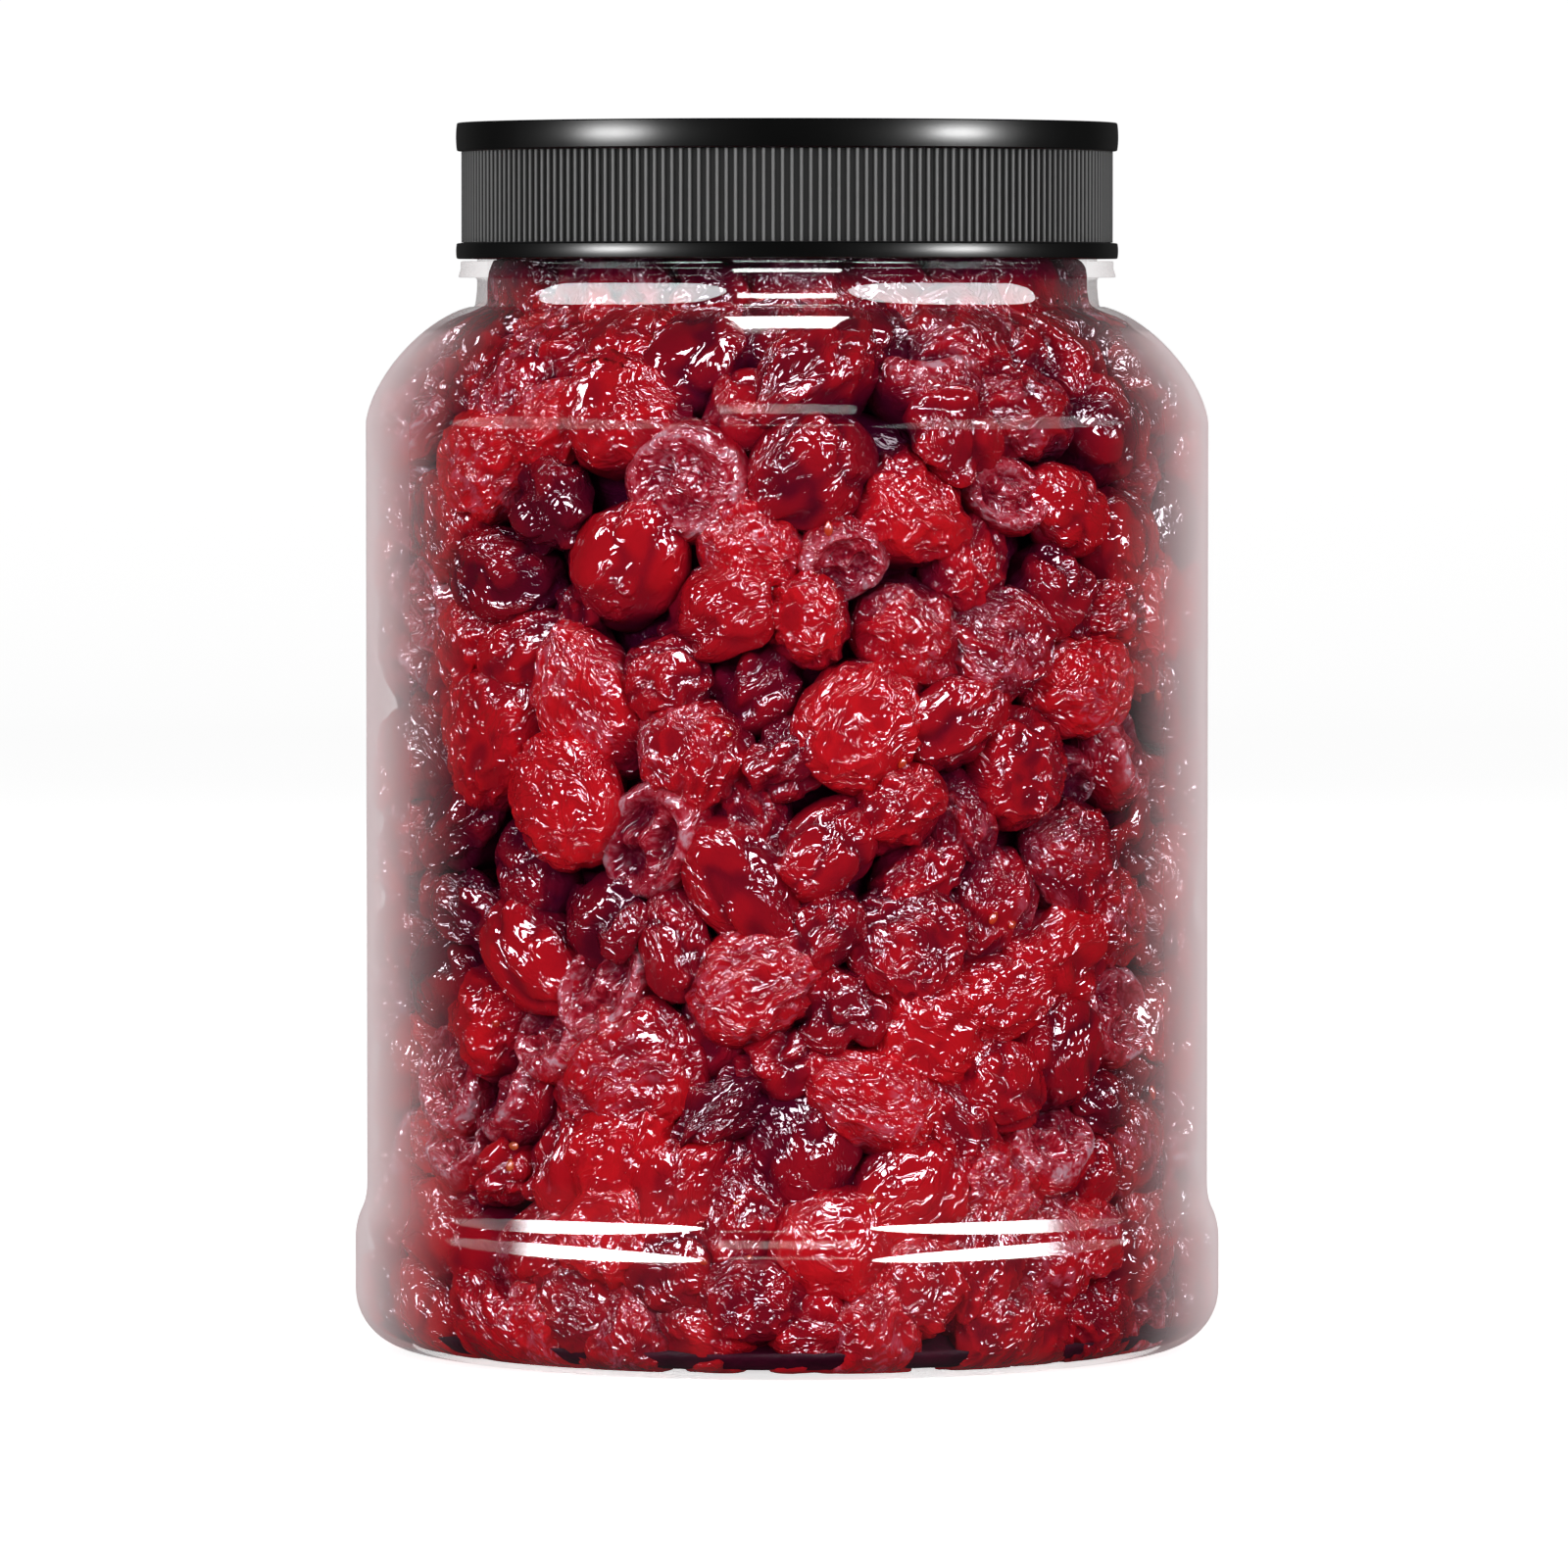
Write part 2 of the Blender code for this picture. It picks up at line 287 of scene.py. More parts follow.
    def gloss(self, colour: object, roughness: float) -> Socket:
        """A mirror of one colour, or of a colour that varies."""
        return self.node("ShaderNodeBsdfGlossy", {"Color": colour, "Roughness": roughness}).outputs[0]

    def attribute(self, name: str, is_vector: bool = False) -> Socket:
        """A value that a mesh carries, read in a material.

        Args:
            name: the attribute's name.
            is_vector: True for three numbers.

        Returns:
            The attribute's socket.
        """
        made = self.node("ShaderNodeAttribute", attribute_name=name)
        return made.outputs["Vector" if is_vector else "Fac"]

    def carried(self, name: str, data_type: str) -> Socket:
        """A value that the geometry carries, read in a geometry tree.

        Args:
            name: the attribute's name.
            data_type: the attribute's type.

        Returns:
            The attribute's socket.
        """
        return self.node("GeometryNodeInputNamedAttribute", {"Name": name}, data_type=data_type).outputs[0]

    def keep(self, geometry: Socket, name: str, data_type: str, value: object) -> Socket:
        """Stores a value on the geometry's points.

        Args:
            geometry: the geometry.
            name: the attribute's name.
            data_type: the attribute's type.
            value: what it holds.

        Returns:
            The geometry's socket.
        """
        inputs = {"Geometry": geometry, "Name": name, "Value": value}
        made = self.node("GeometryNodeStoreNamedAttribute", inputs, data_type=data_type, domain="POINT")
        return made.outputs["Geometry"]


def new_material(name: str) -> tuple[bpy.types.Material, Wiring, bpy.types.Node]:
    """A material with one Principled shader.

    Args:
        name: the material's name.

    Returns:
        The material, the wiring of its nodes and the shader.
    """
    made = bpy.data.materials.new(name)
    made.use_nodes = True
    wiring = Wiring(made.node_tree)
    return made, wiring, made.node_tree.nodes["Principled BSDF"]


@dataclass(frozen=True)
class ClearPlastic:
    """Clear moulded plastic, seen as gloss, with a pale lit layer where it is looked along that is a painted
    reflection of the white surroundings.

    Pairs of numbers are ranges: what is in front of the first is none, and what is past the second is all.
    """

    name: str = "clear_plastic"
    # A lit pale layer where the face is looked along: a painted reflection of the white surroundings, with
    # less of it at the neck.
    painted_edge_sheen: Colour = (0.92, 0.77, 0.785)
    painted_edge_sheen_roughness: float = 0.7
    painted_edge_sheen_share: float = 0.90
    painted_edge_sheen_range: tuple[float, float] = (0.34, 0.92)
    neck_edge_sheen: float = 0.22
    neck_edge_sheen_range: tuple[float, float] = (0.1350, 0.1275)
    level_share: float = 1.15
    mirror: float = 0.04
    mirror_power: float = 5.0
    most_gloss: float = 0.30
    tint: Colour = (0.985, 0.98, 0.98)
    roughness: float = 0.04
    # Gloss shares by place, set to put highlights where they are wanted; the foot's extra is a painted
    # highlight.
    body_gloss: float = 0.12
    neck_range: tuple[float, float] = (0.1295, 0.1315)
    collar_range: tuple[float, float] = (0.1366, 0.1372)
    collar_middle: tuple[float, float] = (0.0130, 0.0160)
    collar_highlight_cut: float = 0.85
    foot_highlight_boost: float = 2.9
    foot_range: tuple[float, float] = (0.0250, 0.0230)
    foot_middle: tuple[float, float] = (0.0075, 0.0115)
    foot_side: tuple[float, float] = (0.0352, 0.0300)
    inner_gloss: float = 0.05
    inner_range: tuple[float, float] = (0.2, 1.2)

    def make(self) -> bpy.types.Material:
        """Builds the material of the outer face: clear, with a painted reflection of the white surroundings
        at grazing angles and mirror gloss on top.

        Returns:
            The material.
        """
        made, w, shader = new_material(self.name)
        # The painted reflection of the white surroundings: a lit pale layer that grows where the face is
        # looked along, with less of it at the neck.
        sideways = w.vector("NORMALIZE", w.vector("MULTIPLY", w.place(), (1.0, 1.0, 0.0)))
        along = w.facing()
        facing = w.math("MINIMUM", w.facing(Normal=sideways), w.times(along, self.level_share))
        below = w.remap(w.parts(w.place())["Z"], *self.neck_edge_sheen_range, self.neck_edge_sheen, 1.0)
        share = w.times(w.remap(facing, *self.painted_edge_sheen_range, 0.0, self.painted_edge_sheen_share), below)
        clear = w.node("ShaderNodeBsdfTransparent", {"Color": (*self.tint, 1.0)}).outputs[0]
        shader.inputs["Base Color"].default_value = (*self.painted_edge_sheen, 1.0)
        shader.inputs["Roughness"].default_value = self.painted_edge_sheen_roughness
        shader.inputs["Specular IOR Level"].default_value = 0.0
        with_edge_sheen = w.mix_shaders(share, clear, shader.outputs[0])
        power = w.math("POWER", along, self.mirror_power)
        edge = w.plus(w.times(power, 1 - self.mirror), self.mirror)
        polish, painted_foot_highlight = self.polish(w)
        seen = w.math("MINIMUM", w.times(edge, polish), self.most_gloss)
        glossy = w.mix_shaders(seen, with_edge_sheen, w.gloss((*WHITE, 1.0), self.roughness))
        # Painted highlight: extra mirror on the foot's sides, added on top of the gloss.
        extra = w.gloss(w.times(edge, painted_foot_highlight), self.roughness)
        whole = w.node("ShaderNodeAddShader", {0: glossy, 1: extra}).outputs[0]
        w.feed(made.node_tree.nodes["Material Output"].inputs["Surface"], whole)
        return made

    def polish(self, w: Wiring) -> tuple[Socket, Socket]:
        """How strongly each part mirrors, set by place to put highlights where wanted: fully at the neck,
        less on the straight body and in the collar's middle, with a painted highlight on the foot's sides.

        Args:
            w: the wiring of the material.

        Returns:
            The sockets of the gloss's share and of what the foot adds to it.
        """
        place = w.parts(w.place())
        across = w.math("ABSOLUTE", place["X"])
        neck = w.remap(place["Z"], *self.neck_range)
        # The collar mirrors less in its middle, which takes a highlight out there.
        collar = w.remap(place["Z"], *self.collar_range)
        collar = w.times(collar, w.remap(across, *self.collar_middle))
        neck = w.times(neck, w.math("SUBTRACT", 1.0, w.times(collar, self.collar_highlight_cut)))
        # Painted highlight: on the foot, at either side of the middle, an extra mirror of up to nearly three
        # times full strength.
        foot = w.remap(place["Z"], *self.foot_range)
        aside = w.times(w.remap(across, *self.foot_middle), w.remap(across, *self.foot_side))
        painted_foot_highlight = w.times(w.times(foot, aside), self.foot_highlight_boost)
        return w.math("MAXIMUM", neck, self.body_gloss), painted_foot_highlight

    def make_inside(self) -> bpy.types.Material:
        """Builds the material of the inner face: clear, with a very faint second gloss.

        Returns:
            The material.
        """
        made, w, shader = new_material(self.name + "_inside")
        clear = w.node("ShaderNodeBsdfTransparent", {"Color": (*self.tint, 1.0)}).outputs[0]
        shader.inputs["Base Color"].default_value = (*WHITE, 1.0)
        shader.inputs["Roughness"].default_value = self.roughness
        shader.inputs["Metallic"].default_value = 1.0
        share = w.remap(w.facing(), *self.inner_range, 0.0, self.inner_gloss)
        both = w.mix_shaders(share, clear, shader.outputs[0])
        w.feed(made.node_tree.nodes["Material Output"].inputs["Surface"], both)
        return made


@dataclass(frozen=True)
class BlackPlastic:
    """Black moulded plastic with a soft sheen and a very fine grain, of another colour further out: on the
    ribs a painted highlight on their crests, and at the grazing sides a painted sheen on the bands and
    painted shade on the rib crests.
    """

    name: str = "black_plastic"
    colour: Colour = (0.045, 0.045, 0.045)
    # On the ribs the outer colour is a painted highlight on their crests; on the lid's bands it is their own
    # black.
    outer_colour_or_crest_highlight: Colour = (0.0015, 0.0015, 0.0015)
    outer_range: tuple[float, float] = (0.04152, 0.04180)
    grazing_paint_range: tuple[float, float] = (0.55, 0.95)
    grazing_paint_share: float = 0.35
    roughness: float = 0.30
    shine: float = 0.5
    roughness_drift: tuple[float, float] = (-0.02, 0.03)
    cloud_scale: float = 90.0
    grain_scale: float = 2600.0
    grain_depth: float = 0.00001
    grain_strength: float = 0.2

    def make(self) -> bpy.types.Material:
        """Builds the material.

        Returns:
            The material.
        """
        made, w, shader = new_material(self.name)
        place = w.place()
        flat = w.vector("MULTIPLY", place, (1.0, 1.0, 0.0))
        # Further out the colour turns to the outer one; at the grazing sides it turns back, a painted sheen
        # on the black bands and painted shade on the rib crests.
        outer = w.remap(w.vector("LENGTH", flat), *self.outer_range)
        side = w.remap(w.facing(Normal=w.vector("NORMALIZE", flat)), *self.grazing_paint_range, 1.0, self.grazing_paint_share)
        shown = w.times(outer, side)
        w.feed(shader.inputs["Base Color"], w.blend(shown, self.colour, self.outer_colour_or_crest_highlight))
        cloud = w.noise(place, self.cloud_scale, 3.0)
        least, most = (self.roughness + drift for drift in self.roughness_drift)
        rough = w.remap(cloud, 0.2, 0.8, least, most)
        w.feed(shader.inputs["Roughness"], rough)
        grain = w.noise(place, self.grain_scale, 1.0)
        w.feed(shader.inputs["Normal"], w.bump(grain, self.grain_depth, self.grain_strength))
        shader.inputs["Specular IOR Level"].default_value = self.shine
        return made


@dataclass(frozen=True)
class BerrySkin:
    """Dried cranberry skin: glossy red with thin wrinkles and frosted patches, with painted shade in its
    creases and away from the wall.

    Sizes and scales are counts in the berry's own grain, whose unit is the berry's half length.
    """

    name: str
    shades: tuple[Colour, Colour, Colour, Colour] = (
        (0.140, 0.0025, 0.0160),
        (0.330, 0.0050, 0.0165),
        (0.560, 0.0070, 0.0165),
        (0.780, 0.0100, 0.0185),
    )
    shade_stops: tuple[float, float, float, float] = (0.16, 0.38, 0.60, 0.90)
    tone_share: float = 0.45
    cloud_share: float = 0.55
    cloud_scale: float = 1.1
    # Painted shade and light along the folds.
    fold_shade_share: float = 0.25
    roughness: float = 0.45
    wrinkle_size: float = 3.5
    wrinkle_depth: float = 0.00074
    wrinkle_stretch: tuple[float, float, float] = (0.72, 1.35, 1.0)
    wrinkle_drift: float = 1.1
    dent: float = 0.9
    small_dent: float = 0.30
    ridge: float = 0.55
    ridge_width: float = 0.09
    flesh_relief: float = 0.42
    calm: float = 0.38
    calm_edge: float = 0.16
    calm_relief: float = 0.12
    frosting: float = 0.36
    frosting_edge: float = 0.12
    frosting_scale: float = 1.25
    frost_depth: float = 0.62
    frost_scale: float = 9.0
    fleck_drift: float = 0.8
    fleck_stretch: tuple[float, float, float] = (1.0, 1.4, 1.0)
    fleck_scale: float = 5.0
    fleck_range: tuple[float, float] = (0.44, 0.66)
    bloom: float = 0.22
    bloom_colour: Colour = (0.74, 0.16, 0.27)
    # Painted shade: how far the skin goes to the shadow colour, and how much gloss it loses, deep behind the
    # wall and under the lid.
    gloom: float = 0.88
    shaded_gloss_loss: float = 0.85
    shadow: Colour = (0.052, 0.0018, 0.0220)
    coat_roughness: float = 0.018
    coat_ior: float = 1.5

    def make(self) -> bpy.types.Material:
        """Builds the material.

        Returns:
            The material.
        """
        made, w, shader = new_material(self.name)
        grain = w.attribute("grain", is_vector=True)
        cloud = w.noise(grain, self.frosting_scale, 2.0)
        patch = w.remap(cloud, self.frosting, self.frosting - self.frosting_edge)
        frosted = w.blend(self.flecks(w, grain, patch), self.red(w, grain), self.bloom_colour)
        w.feed(shader.inputs["Base Color"], self.paint_depth_shade(w, frosted))
        fine = w.times(w.times(w.noise(grain, self.frost_scale, 2.0), patch), self.frost_depth)
        skin = w.bump(w.plus(self.wrinkles(w, grain), fine), self.wrinkle_depth)
        plain = w.vector("SCALE", w.node("ShaderNodeNewGeometry").outputs["Normal"], 1 - self.flesh_relief)
        flesh = w.vector("NORMALIZE", w.vector("ADD", plain, w.vector("SCALE", skin, self.flesh_relief)))
        w.feed(shader.inputs["Normal"], flesh)
        w.feed(shader.inputs["Coat Normal"], skin)
        # Painted shade: the coat, and so its glints, fades deep behind the wall and under the lid.
        lost = w.times(w.attribute("deep"), self.shaded_gloss_loss)
        w.feed(shader.inputs["Coat Weight"], w.math("SUBTRACT", 1.0, lost))
        shader.inputs["Roughness"].default_value = self.roughness
        shader.inputs["Specular IOR Level"].default_value = 0.0
        shader.inputs["Coat Roughness"].default_value = self.coat_roughness
        shader.inputs["Coat IOR"].default_value = self.coat_ior
        return made

    def red(self, w: Wiring, grain: Socket) -> Socket:
        """The skin's red: one tone to a berry and cloudy, with painted shade in the creases that go in and
        painted light on the folds that stand out.

        Args:
            w: the wiring of the material.
            grain: the berry's own coordinates.

        Returns:
            The colour's socket.
        """
        tone = w.times(w.attribute("tone"), self.tone_share)
        cloud = w.times(w.noise(grain, self.cloud_scale, 3.0), self.cloud_share)
        # Painted shade and light: darker in creases that go in, lighter on folds that stand out.
        fold = w.times(w.attribute("fold"), self.fold_shade_share)
        return w.ramp(w.plus(w.plus(tone, cloud), fold), zip(self.shade_stops, self.shades))

    def flecks(self, w: Wiring, grain: Socket, patch: Socket) -> Socket:
        """The paler flecks of sugar on the frosted patches.

        Args:
            w: the wiring of the material.
            grain: the berry's own coordinates.
            patch: where the skin is frosted.

        Returns:
            The socket of the flecks' share.
        """
        drift = w.vector("SCALE", w.noise(grain, 2.2, 1.0, colour=True), self.fleck_drift)
        place = w.vector("MULTIPLY", w.vector("ADD", grain, drift), self.fleck_stretch)
        flecks = w.remap(w.noise(place, self.fleck_scale, 4.0), *self.fleck_range)
        return w.times(w.times(patch, flecks), self.bloom)

    def paint_depth_shade(self, w: Wiring, colour: Socket) -> Socket:
        """Paints shade: lets a colour go to dark maroon with the depth behind the wall and near the top under
        the lid.

        Args:
            w: the wiring of the material.
            colour: the colour by the wall.

        Returns:
            The colour's socket.
        """
        return w.blend(w.times(w.attribute("deep"), self.gloom), colour, self.shadow)

    def wrinkles(self, w: Wiring, grain: Socket) -> Socket:
        """Dents with sharp edges between them and thin raised lines, with calm patches here and there.

        Args:
            w: the wiring of the material.
            grain: the berry's own coordinates.

        Returns:
            The height's socket.
        """
        drift = w.vector("SCALE", w.noise(grain, 1.5, 2.0, colour=True), self.wrinkle_drift)
        place = w.vector("MULTIPLY", w.vector("ADD", grain, drift), self.wrinkle_stretch)
        dents = w.times(w.cells(place, self.wrinkle_size), self.dent)
        off = w.math("ABSOLUTE", w.math("SUBTRACT", w.noise(place, self.wrinkle_size * 0.8, 1.0), 0.5))
        ridge = w.times(w.remap(off, self.ridge_width, 0.0), self.ridge)
        small = w.times(w.cells(place, self.wrinkle_size * 2.0), self.small_dent)
        height = w.plus(w.plus(dents, ridge), small)
        cloud = w.noise(grain, self.cloud_scale, 1.0)
        lively = w.remap(cloud, self.calm, self.calm + self.calm_edge, self.calm_relief, 1.0)
        return w.times(height, lively)


@dataclass(frozen=True)
class CutFlesh(BerrySkin):
    """A berry cut open: red skin round a frosted, fibrous, red to lilac inside."""

    flesh: tuple[Colour, Colour, Colour, Colour] = (
        (0.260, 0.0030, 0.0120),
        (0.520, 0.0120, 0.0300),
        (0.680, 0.0900, 0.1350),
        (0.780, 0.3800, 0.4700),
    )
    flesh_stops: tuple[float, float, float, float] = (0.42, 0.58, 0.69, 0.80)
    fibre_drift: float = 1.3
    fibre_scale: float = 2.6
    fibre_share: float = 0.85
    speckle_scale: float = 11.0
    speckle_share: float = 0.30
    rim_share: float = 0.10

    def make(self) -> bpy.types.Material:
        """Builds the material.

        Returns:
            The material.
        """
        made = super().make()
        w = Wiring(made.node_tree)
        shader = made.node_tree.nodes["Principled BSDF"]
        red = shader.inputs["Base Color"].links[0].from_socket
        grain = w.attribute("grain", is_vector=True)
        drift = w.vector("SCALE", w.noise(grain, 1.8, 2.0, colour=True), self.fibre_drift)
        place = w.vector("ADD", w.attribute("fibre", is_vector=True), drift)
        fibres = w.times(w.noise(place, self.fibre_scale, 4.0), self.fibre_share)
        speckle = w.times(w.noise(grain, self.speckle_scale, 3.0), self.speckle_share)
        rim = w.times(w.attribute("rim"), self.rim_share)
        inside = w.ramp(w.plus(w.plus(fibres, speckle), rim), zip(self.flesh_stops, self.flesh))
        w.feed(shader.inputs["Base Color"], w.blend(w.attribute("cut"), red, self.paint_depth_shade(w, inside)))
        return made


@dataclass(frozen=True)
class DeepRed:
    """What shows between the berries: flesh so deep in shade that it is nearly black."""

    name: str = "deep_red"
    stops: tuple[tuple[float, Colour], ...] = ((0.35, (0.035, 0.0015, 0.012)), (0.75, (0.095, 0.003, 0.022)))
    shine: float = 0.05
    roughness: tuple[float, float] = (0.6, 0.8)
    cloud_scale: float = 160.0
    relief_scale: float = 520.0
    relief_depth: float = 0.0006
    relief_strength: float = 0.6

    def make(self) -> bpy.types.Material:
        """Builds the material.

        Returns:
            The material.
        """
        made, w, shader = new_material(self.name)
        place = w.place()
        cloud = w.noise(place, self.cloud_scale, 3.0)
        w.feed(shader.inputs["Base Color"], w.ramp(cloud, self.stops))
        w.feed(shader.inputs["Roughness"], w.remap(cloud, 0.3, 0.7, *self.roughness))
        shader.inputs["Specular IOR Level"].default_value = self.shine
        relief = w.noise(place, self.relief_scale, 3.0)
        w.feed(shader.inputs["Normal"], w.bump(relief, self.relief_depth, self.relief_strength))
        return made


@dataclass(frozen=True)
class SeedCoat:
    """Small hard seeds, deep red to orange and glossy."""

    name: str = "seed_coat"
    stops: tuple[tuple[float, Colour], ...] = (
        (0.20, (0.60, 0.018, 0.008)),
        (0.55, (0.74, 0.060, 0.012)),
        (0.85, (0.80, 0.190, 0.045)),
    )
    tone_share: float = 0.6
    cloud_share: float = 0.4
    cloud_scale: float = 1.5
    roughness: tuple[float, float] = (0.15, 0.3)
    gloss: float = 0.8

    def make(self) -> bpy.types.Material:
        """Builds the material.

        Returns:
            The material.
        """
        made, w, shader = new_material(self.name)
        tone = w.times(w.attribute("tone"), self.tone_share)
        cloud = w.noise(w.attribute("grain", is_vector=True), self.cloud_scale)
        mixed = w.plus(tone, w.times(cloud, self.cloud_share))
        w.feed(shader.inputs["Base Color"], w.ramp(mixed, self.stops))
        w.feed(shader.inputs["Roughness"], w.remap(mixed, 0.2, 0.8, *self.roughness))
        shader.inputs["Coat Weight"].default_value = self.gloss
        return made


@dataclass(frozen=True)
class StudioPaper:
    """The seamless white paper that the jar stands on, lit until it is plain white."""

    name: str = "studio_paper"
    stops: tuple[tuple[float, Colour], ...] = ((0.3, (0.93, 0.93, 0.93)), (0.7, (0.95, 0.95, 0.95)))
    cloud_scale: float = 3.0
    glow: float = 0.8

    def make(self) -> bpy.types.Material:
        """Builds the material.

        Returns:
            The material.
        """
        made, w, shader = new_material(self.name)
        w.feed(shader.inputs["Base Color"], w.ramp(w.noise(w.place(), self.cloud_scale), self.stops))
        shader.inputs["Roughness"].default_value = 1.0
        shader.inputs["Specular IOR Level"].default_value = 0.0
        shader.inputs["Emission Color"].default_value = (*WHITE, 1.0)
        shader.inputs["Emission Strength"].default_value = self.glow
        made.cycles.emission_sampling = "NONE"
        return made


@dataclass
class Outline:
    """A profile of (radius, height) points, drawn as straight runs and round arcs."""

    points: list[Point] = field(default_factory=list)

    def to(self, radius: float, height: float) -> "Outline":
        """Goes straight on to a point.

        Args:
            radius: its distance from the axis.
            height: its height.

        Returns:
            The outline itself.
        """
        self.points.append((radius, height))
        return self

    def arc(self, centre: Point, radius: float, start: float, end: float, steps: int = 6) -> "Outline":
        """Follows an arc.

        Args:
            centre: its centre.
            radius: its radius.
            start: the angle it starts at, in degrees, from outwards towards up.
            end: the angle it ends at.
            steps: how many pieces it has.

        Returns:
            The outline itself.
        """
        for i in range(steps + 1):
            turn = math.radians(start + (end - start) * i / steps)
            self.points.append((centre[0] + radius * math.cos(turn), centre[1] + radius * math.sin(turn)))
        return self

    def curve(self, points: Iterable[Point]) -> "Outline":
        """Follows points that are worked out elsewhere.

        Args:
            points: the points in order.

        Returns:
            The outline itself.
        """
        self.points.extend(points)
        return self


def turned_mesh(name: str, outline: list[Point], steps: int) -> bpy.types.Mesh:
    """A closed profile turned about Z.

    Args:
        name: the mesh's name.
        outline: the profile's points, from axis to axis, or a loop that is closed on itself.
        steps: how many sides the turned shape has.

    Returns:
        The mesh, its faces outwards.
    """
    shape = bmesh.new()
    verts = [shape.verts.new((radius, 0.0, height)) for radius, height in outline]
    edges = [shape.edges.new(pair) for pair in zip(verts, verts[1:])]
    if outline[0][0] > MERGE or outline[-1][0] > MERGE:
        edges.append(shape.edges.new((verts[-1], verts[0])))
    turn = {"cent": (0, 0, 0), "axis": (0, 0, 1), "angle": 2 * math.pi}
    bmesh.ops.spin(shape, geom=verts + edges, steps=steps, use_merge=True, **turn)
    bmesh.ops.remove_doubles(shape, verts=shape.verts, dist=MERGE)
    bmesh.ops.dissolve_degenerate(shape, dist=MERGE / 10, edges=shape.edges)
    bmesh.ops.recalc_face_normals(shape, faces=shape.faces)
    mesh = bpy.data.meshes.new(name)
    shape.to_mesh(mesh)
    shape.free()
    mesh.shade_smooth()
    return mesh


def distance(place: np.ndarray, profile: np.ndarray) -> float:
    """How far a point is from a profile.

    Args:
        place: the point's radius and height.
        profile: the profile's points, as rows.

    Returns:
        The distance to the nearest run between two points.
    """
    start, run = profile[:-1], np.diff(profile, axis=0)
    share = np.clip(((place - start) * run).sum(1) / np.maximum((run**2).sum(1), 1e-18), 0, 1)
    return float(np.hypot(*(start + share[:, None] * run - place).T).min())


def piece(name: str, mesh: bpy.types.Mesh, slot: Slot, *replaced: str) -> bpy.types.Object:
    """Makes an object of a finished mesh, rides it on the body and reports it.

    Args:
        name: the piece's name.
        mesh: its mesh, already in place.
        slot: the record's material slot.
        replaced: the nodes that it stands for.

    Returns:
        The object.
    """
    made = bpy.data.objects.new(name, mesh)
    bpy.context.scene.collection.objects.link(made)
    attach(made, ROOT)
    if replaced:
        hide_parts(*replaced)
    mesh.calc_loop_triangles()
    log.info("%s: %d triangles, %s", name, len(mesh.loop_triangles), slot.value)
    return made


